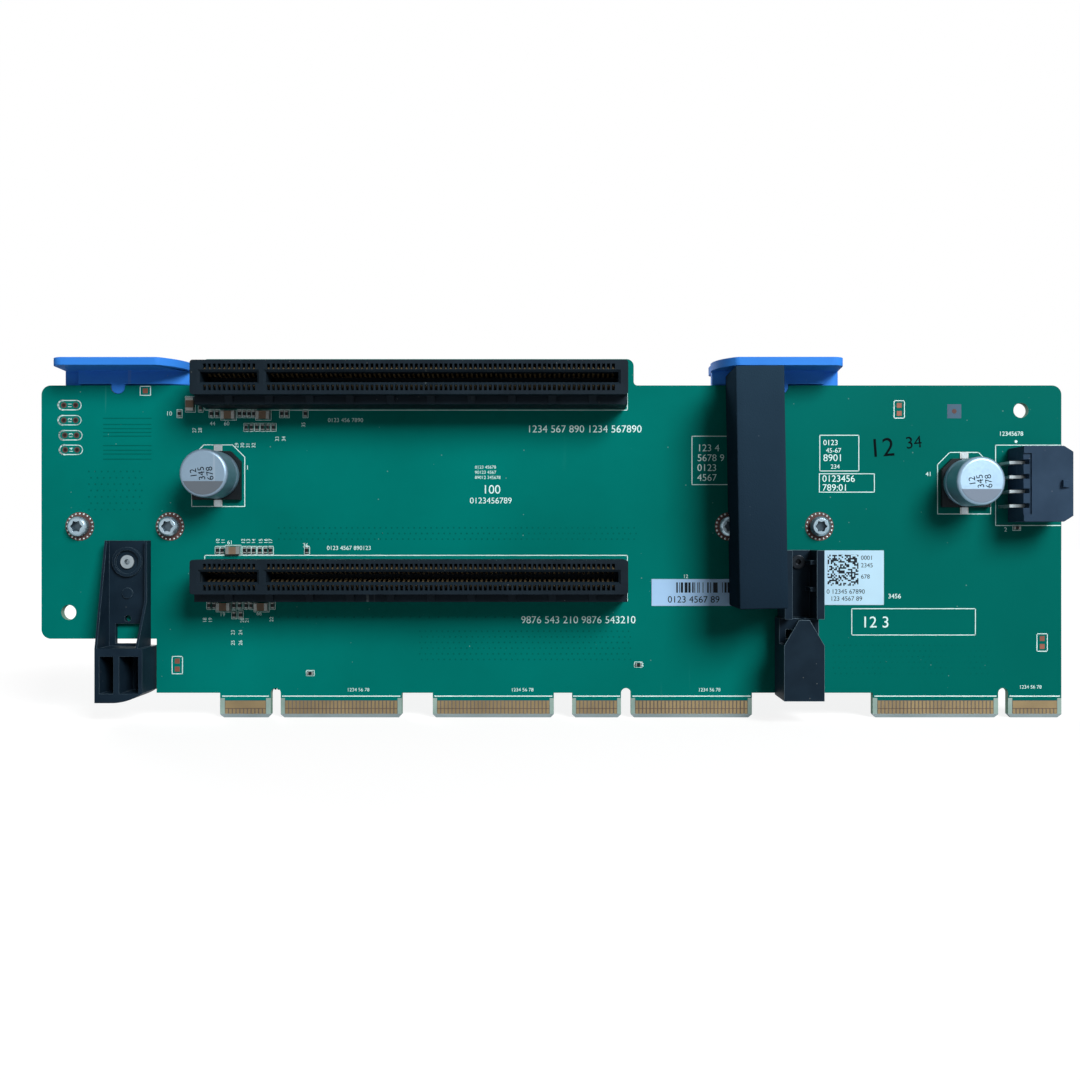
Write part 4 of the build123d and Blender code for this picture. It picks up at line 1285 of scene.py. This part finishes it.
label_y = serial_low.y
left, right, low, high = in_mm("serial_label")
text, x, z, size = SERIAL_LINE
words = [number(text, left + x, low + z, size, label_y)]
left, right, low, high = in_mm("square_label")
words += [number(text, left + x, high - z, SQUARE_TOP_SIZE, label_y) for text, x, z in SQUARE_TOP_LINES]
words += [number(text, left + x, low + z, SQUARE_LOW_SIZE, label_y) for text, x, z in SQUARE_LOW_LINES]
words += [number(text, x, z, size, FRONT, turn) for text, x, z, size, turn in STAMPS]
for node in both("capacitor_can"):
    left, right, low, high = in_mm(node)
    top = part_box(node)[0].y
    for text, x, z in CAN_LINES:
        words.append(number(text, (left + right) / 2 + x, (low + high) / 2 + z, CAN_SIZE, top, CAN_TURN))
printed(words, "label_numbers", dark_ink, DARK_HEIGHT)

# %% [markdown]
# The photograph doesn't show the back, so it gets only what such boards usually carry there: frames
# round the slots' tails and the socket's pins, and plain numbers. They are laid out as seen from
# behind, on the front, and turned half round about the board's middle.

# %% Print on the back
HALF_WAY = (0, (FRONT + BACK) / 2, 0)
SLOT_WIDTH = 2 * SLOT_HALF_WIDTH / MM
PINS_LEFT = 4.6
PINS_RIGHT = 1.6
PINS_END = 1.4
BACK_NUMBERS = (
    ("0123 456 789", -10.0, 21.6, 1.6), ("0123 456 789", -10.0, 60.4, 1.6), ("1", 76.4, 70.0, 1.6),
    ("1", 76.4, 29.4, 1.6), ("82", -16.8, 70.0, 1.6), ("82", -16.8, 29.4, 1.6), ("200", 22.0, 48.6, 2.6),
    ("1234567890", 19.0, 46.2, 1.8), ("12 34", -84.0, 24.0, 2.4), ("56", -101.0, 61.4, 1.4),
)


def behind(piece):
    """Turns a finished front piece half round to the back."""
    pick(piece)
    bpy.ops.transform.rotate(value=pi, orient_axis="Z", center_override=HALF_WAY)
    bpy.ops.object.transform_apply(location=True, rotation=True, scale=True)


lines = []
for node in SLOTS:
    left, right, low, high = in_mm(node)
    foot = high - SLOT_WIDTH - SLOT_HEAD
    lines += frame_line(-right - SLOT_SIDE, -left + SLOT_SIDE, foot, high + SLOT_HEAD)
left, right, low, high = in_mm("power_socket_pins")
lines += frame_line(-left - PINS_LEFT, -left + PINS_RIGHT, low - PINS_END, high + PINS_END)
lines += [number(*item) for item in BACK_NUMBERS]
behind(printed(lines, "back_print", ink))

# %% [markdown]
# Traces lead down in bundles, from the lower slot's tails towards the fingers and from the upper slot's
# to the space between the slots, and end in covered holes. A bundle is given by its first trace, its
# count and how far it leans aside. Every trace bends a little higher than the one before, so the bends
# stay apart.

# %% Traces on the back
BUNDLES = ((-8.0, 12, 3.0), (22.0, 16, 4.0), (52.0, 10, 4.0))
BUNDLE_STEP = 0.62
BEND_STEP = 0.3
LOWER_START = 23.6
LOWER_BEND = 15.0
LOWER_END = 6.4
UPPER_START = 62.4
UPPER_END = 43.0
BACK_HOLE_RADIUS = 0.28 * MM
UPPER_HOLE = 42.4
LOWER_HOLE = 6.0

traces = []
dots = []
for start, count, lean in BUNDLES:
    for step in range(count):
        x = start + BUNDLE_STEP * step
        rise = BEND_STEP * step
        bend = LOWER_BEND + rise
        points = [(x, LOWER_START), (x, bend), (x + lean, bend - lean), (x + lean, LOWER_END)]
        traces += path(points, TRACE_WIDTH, False)
        traces.append(strip((x, UPPER_START), (x, UPPER_END - rise), TRACE_WIDTH))
        for end_x, end_z in ((x, UPPER_HOLE - rise), (x + lean, LOWER_HOLE)):
            dots.append(disc(end_x * MM, end_z * MM, BACK_HOLE_RADIUS, TRACE_HEIGHT, vertices=8))
behind(printed(traces, "back_traces", trace_mask, TRACE_HEIGHT))
behind(covered(dots, "back_covered_holes"))

# %% [markdown]
# The studio has a pale floor that stays white to the camera except where the card shades it. Light
# Path tells the camera's rays from the others, so the floor can glow to the eye and still throw
# little light back, which keeps the shadows under the slots dark.

# %% Floor
FLOOR_SIDE = 6
FLOOR_GLOW = 1.12
FLOOR_PALE = (0.9, 0.9, 0.9, 1.0)
FLOOR_BOUNCE = (0.22, 0.22, 0.22, 1.0)
WHITE = (1.0, 1.0, 1.0, 1.0)

pick()
bpy.ops.mesh.primitive_plane_add(size=FLOOR_SIDE, location=(0, 0, cad_low.z))
floor = bpy.context.object
floor.name = "floor"
floor_paint, tree, sockets = fresh("floor paint")
sockets["Roughness"].default_value = 0.8
glow = add(tree, "Emission", {"Color": WHITE, "Strength": FLOOR_GLOW}).outputs["Emission"]
rays = add(tree, "LightPath").outputs
feed(tree, sockets["Base Color"], mixed(tree, rays["Is Diffuse Ray"], FLOOR_PALE, FLOOR_BOUNCE))
direct = maths(tree, "MAXIMUM", rays["Is Camera Ray"], rays["Is Glossy Ray"])
distance = add(tree, "VectorMath", {0: coords(tree)}, operation="LENGTH").outputs["Value"]
share = maths(tree, "MULTIPLY", direct, ranged(tree, distance, 0.15, 0.5, 0.72, 1.0))
matt = tree.nodes["Principled BSDF"].outputs["BSDF"]
surface = add(tree, "MixShader", {0: share, 1: matt, 2: glow}).outputs["Shader"]
feed(tree, tree.nodes["Material Output"].inputs["Surface"], surface)
floor.data.materials.append(floor_paint)
floor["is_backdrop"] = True
print("floor at", round(cad_low.z / MM, 2), "mm")

# %% [markdown]
# The world is white to the camera and nearly so to mirror-like rays, so that metal shows a bright room,
# but it lights the card only a little. The lamps do that.

# %% World
AMBIENT = 0.05
MIRRORED = 0.7

world = bpy.data.worlds.new("studio")
bpy.context.scene.world = world
world.use_nodes = True
tree = world.node_tree
rays = add(tree, "LightPath").outputs
seen = maths(tree, "MAXIMUM", rays["Is Camera Ray"], rays["Is Transmission Ray"])
mirror = maths(tree, "MULTIPLY", rays["Is Glossy Ray"], MIRRORED)
strength = maths(tree, "MAXIMUM", maths(tree, "MAXIMUM", seen, mirror), AMBIENT)
background = tree.nodes["Background"].inputs
background["Color"].default_value = WHITE
feed(tree, background["Strength"], strength)
print("world:", world.name)

# %% [markdown]
# Three square lamps light the card: a soft key from the upper right as in the photograph, a weak fill
# from the left, and one behind for the side that the photograph doesn't show. Each is turned to look
# at the middle of the card.

# %% Lamps
CARD_MIDDLE = (0, 0, 0.04)


def lamp(name, place, power, size):
    """Square area lamp that looks at the card."""
    pick()
    bpy.ops.object.light_add(type="AREA", location=place)
    light = bpy.context.object
    light.name = name
    light.data.energy = power
    light.data.size = size
    run = [end - start for start, end in zip(place, CARD_MIDDLE)]
    tilt = atan2(hypot(run[0], run[1]), -run[2])
    light.rotation_euler = (tilt, 0, atan2(-run[0], run[1]))


lamp("key", (0.52, -0.86, 0.64), 17.6, 0.5)
lamp("fill", (-0.5, -0.6, 0.25), 0.3, 0.6)
lamp("back", (-0.6, 0.9, 0.5), 7.5, 0.6)

# %% [markdown]
# The photograph fits a camera square to the board, about 24 cm away and a little right of the middle.
# The lens follows from the scale of the picture: 4.70 pixels a millimetre at 241 mm.

# %% Camera
PHOTO_SIDE = 1080
PIXELS_PER_MM = 4.70
DISTANCE = 241.0
AXIS_X = 563
AXIS_Y = 537
EYE_X = 2.46 * MM
EYE_Z = 38.45 * MM
SENSOR = 36.0

bpy.ops.object.camera_add(location=(EYE_X, FRONT - DISTANCE * MM, EYE_Z), rotation=(radians(90), 0, 0))
camera = bpy.context.object
camera.data.sensor_width = SENSOR
camera.data.lens = SENSOR * PIXELS_PER_MM * DISTANCE / PHOTO_SIDE
camera.data.shift_x = (PHOTO_SIDE / 2 - AXIS_X) / PHOTO_SIDE
camera.data.shift_y = (AXIS_Y - PHOTO_SIDE / 2) / PHOTO_SIDE
camera.data.clip_start = 0.01
scene = bpy.context.scene
scene.camera = camera
scene.view_settings.view_transform = "Standard"
print("lens in mm:", round(camera.data.lens, 2))

# %% [markdown]
# At the end both boxes are written down, the CAD model's and the dressed model's, to show that the
# dressing kept the size.

# %% Finish
low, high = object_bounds()
print("final box in mm:", [round(value / MM, 2) for value in (*low, *high)])
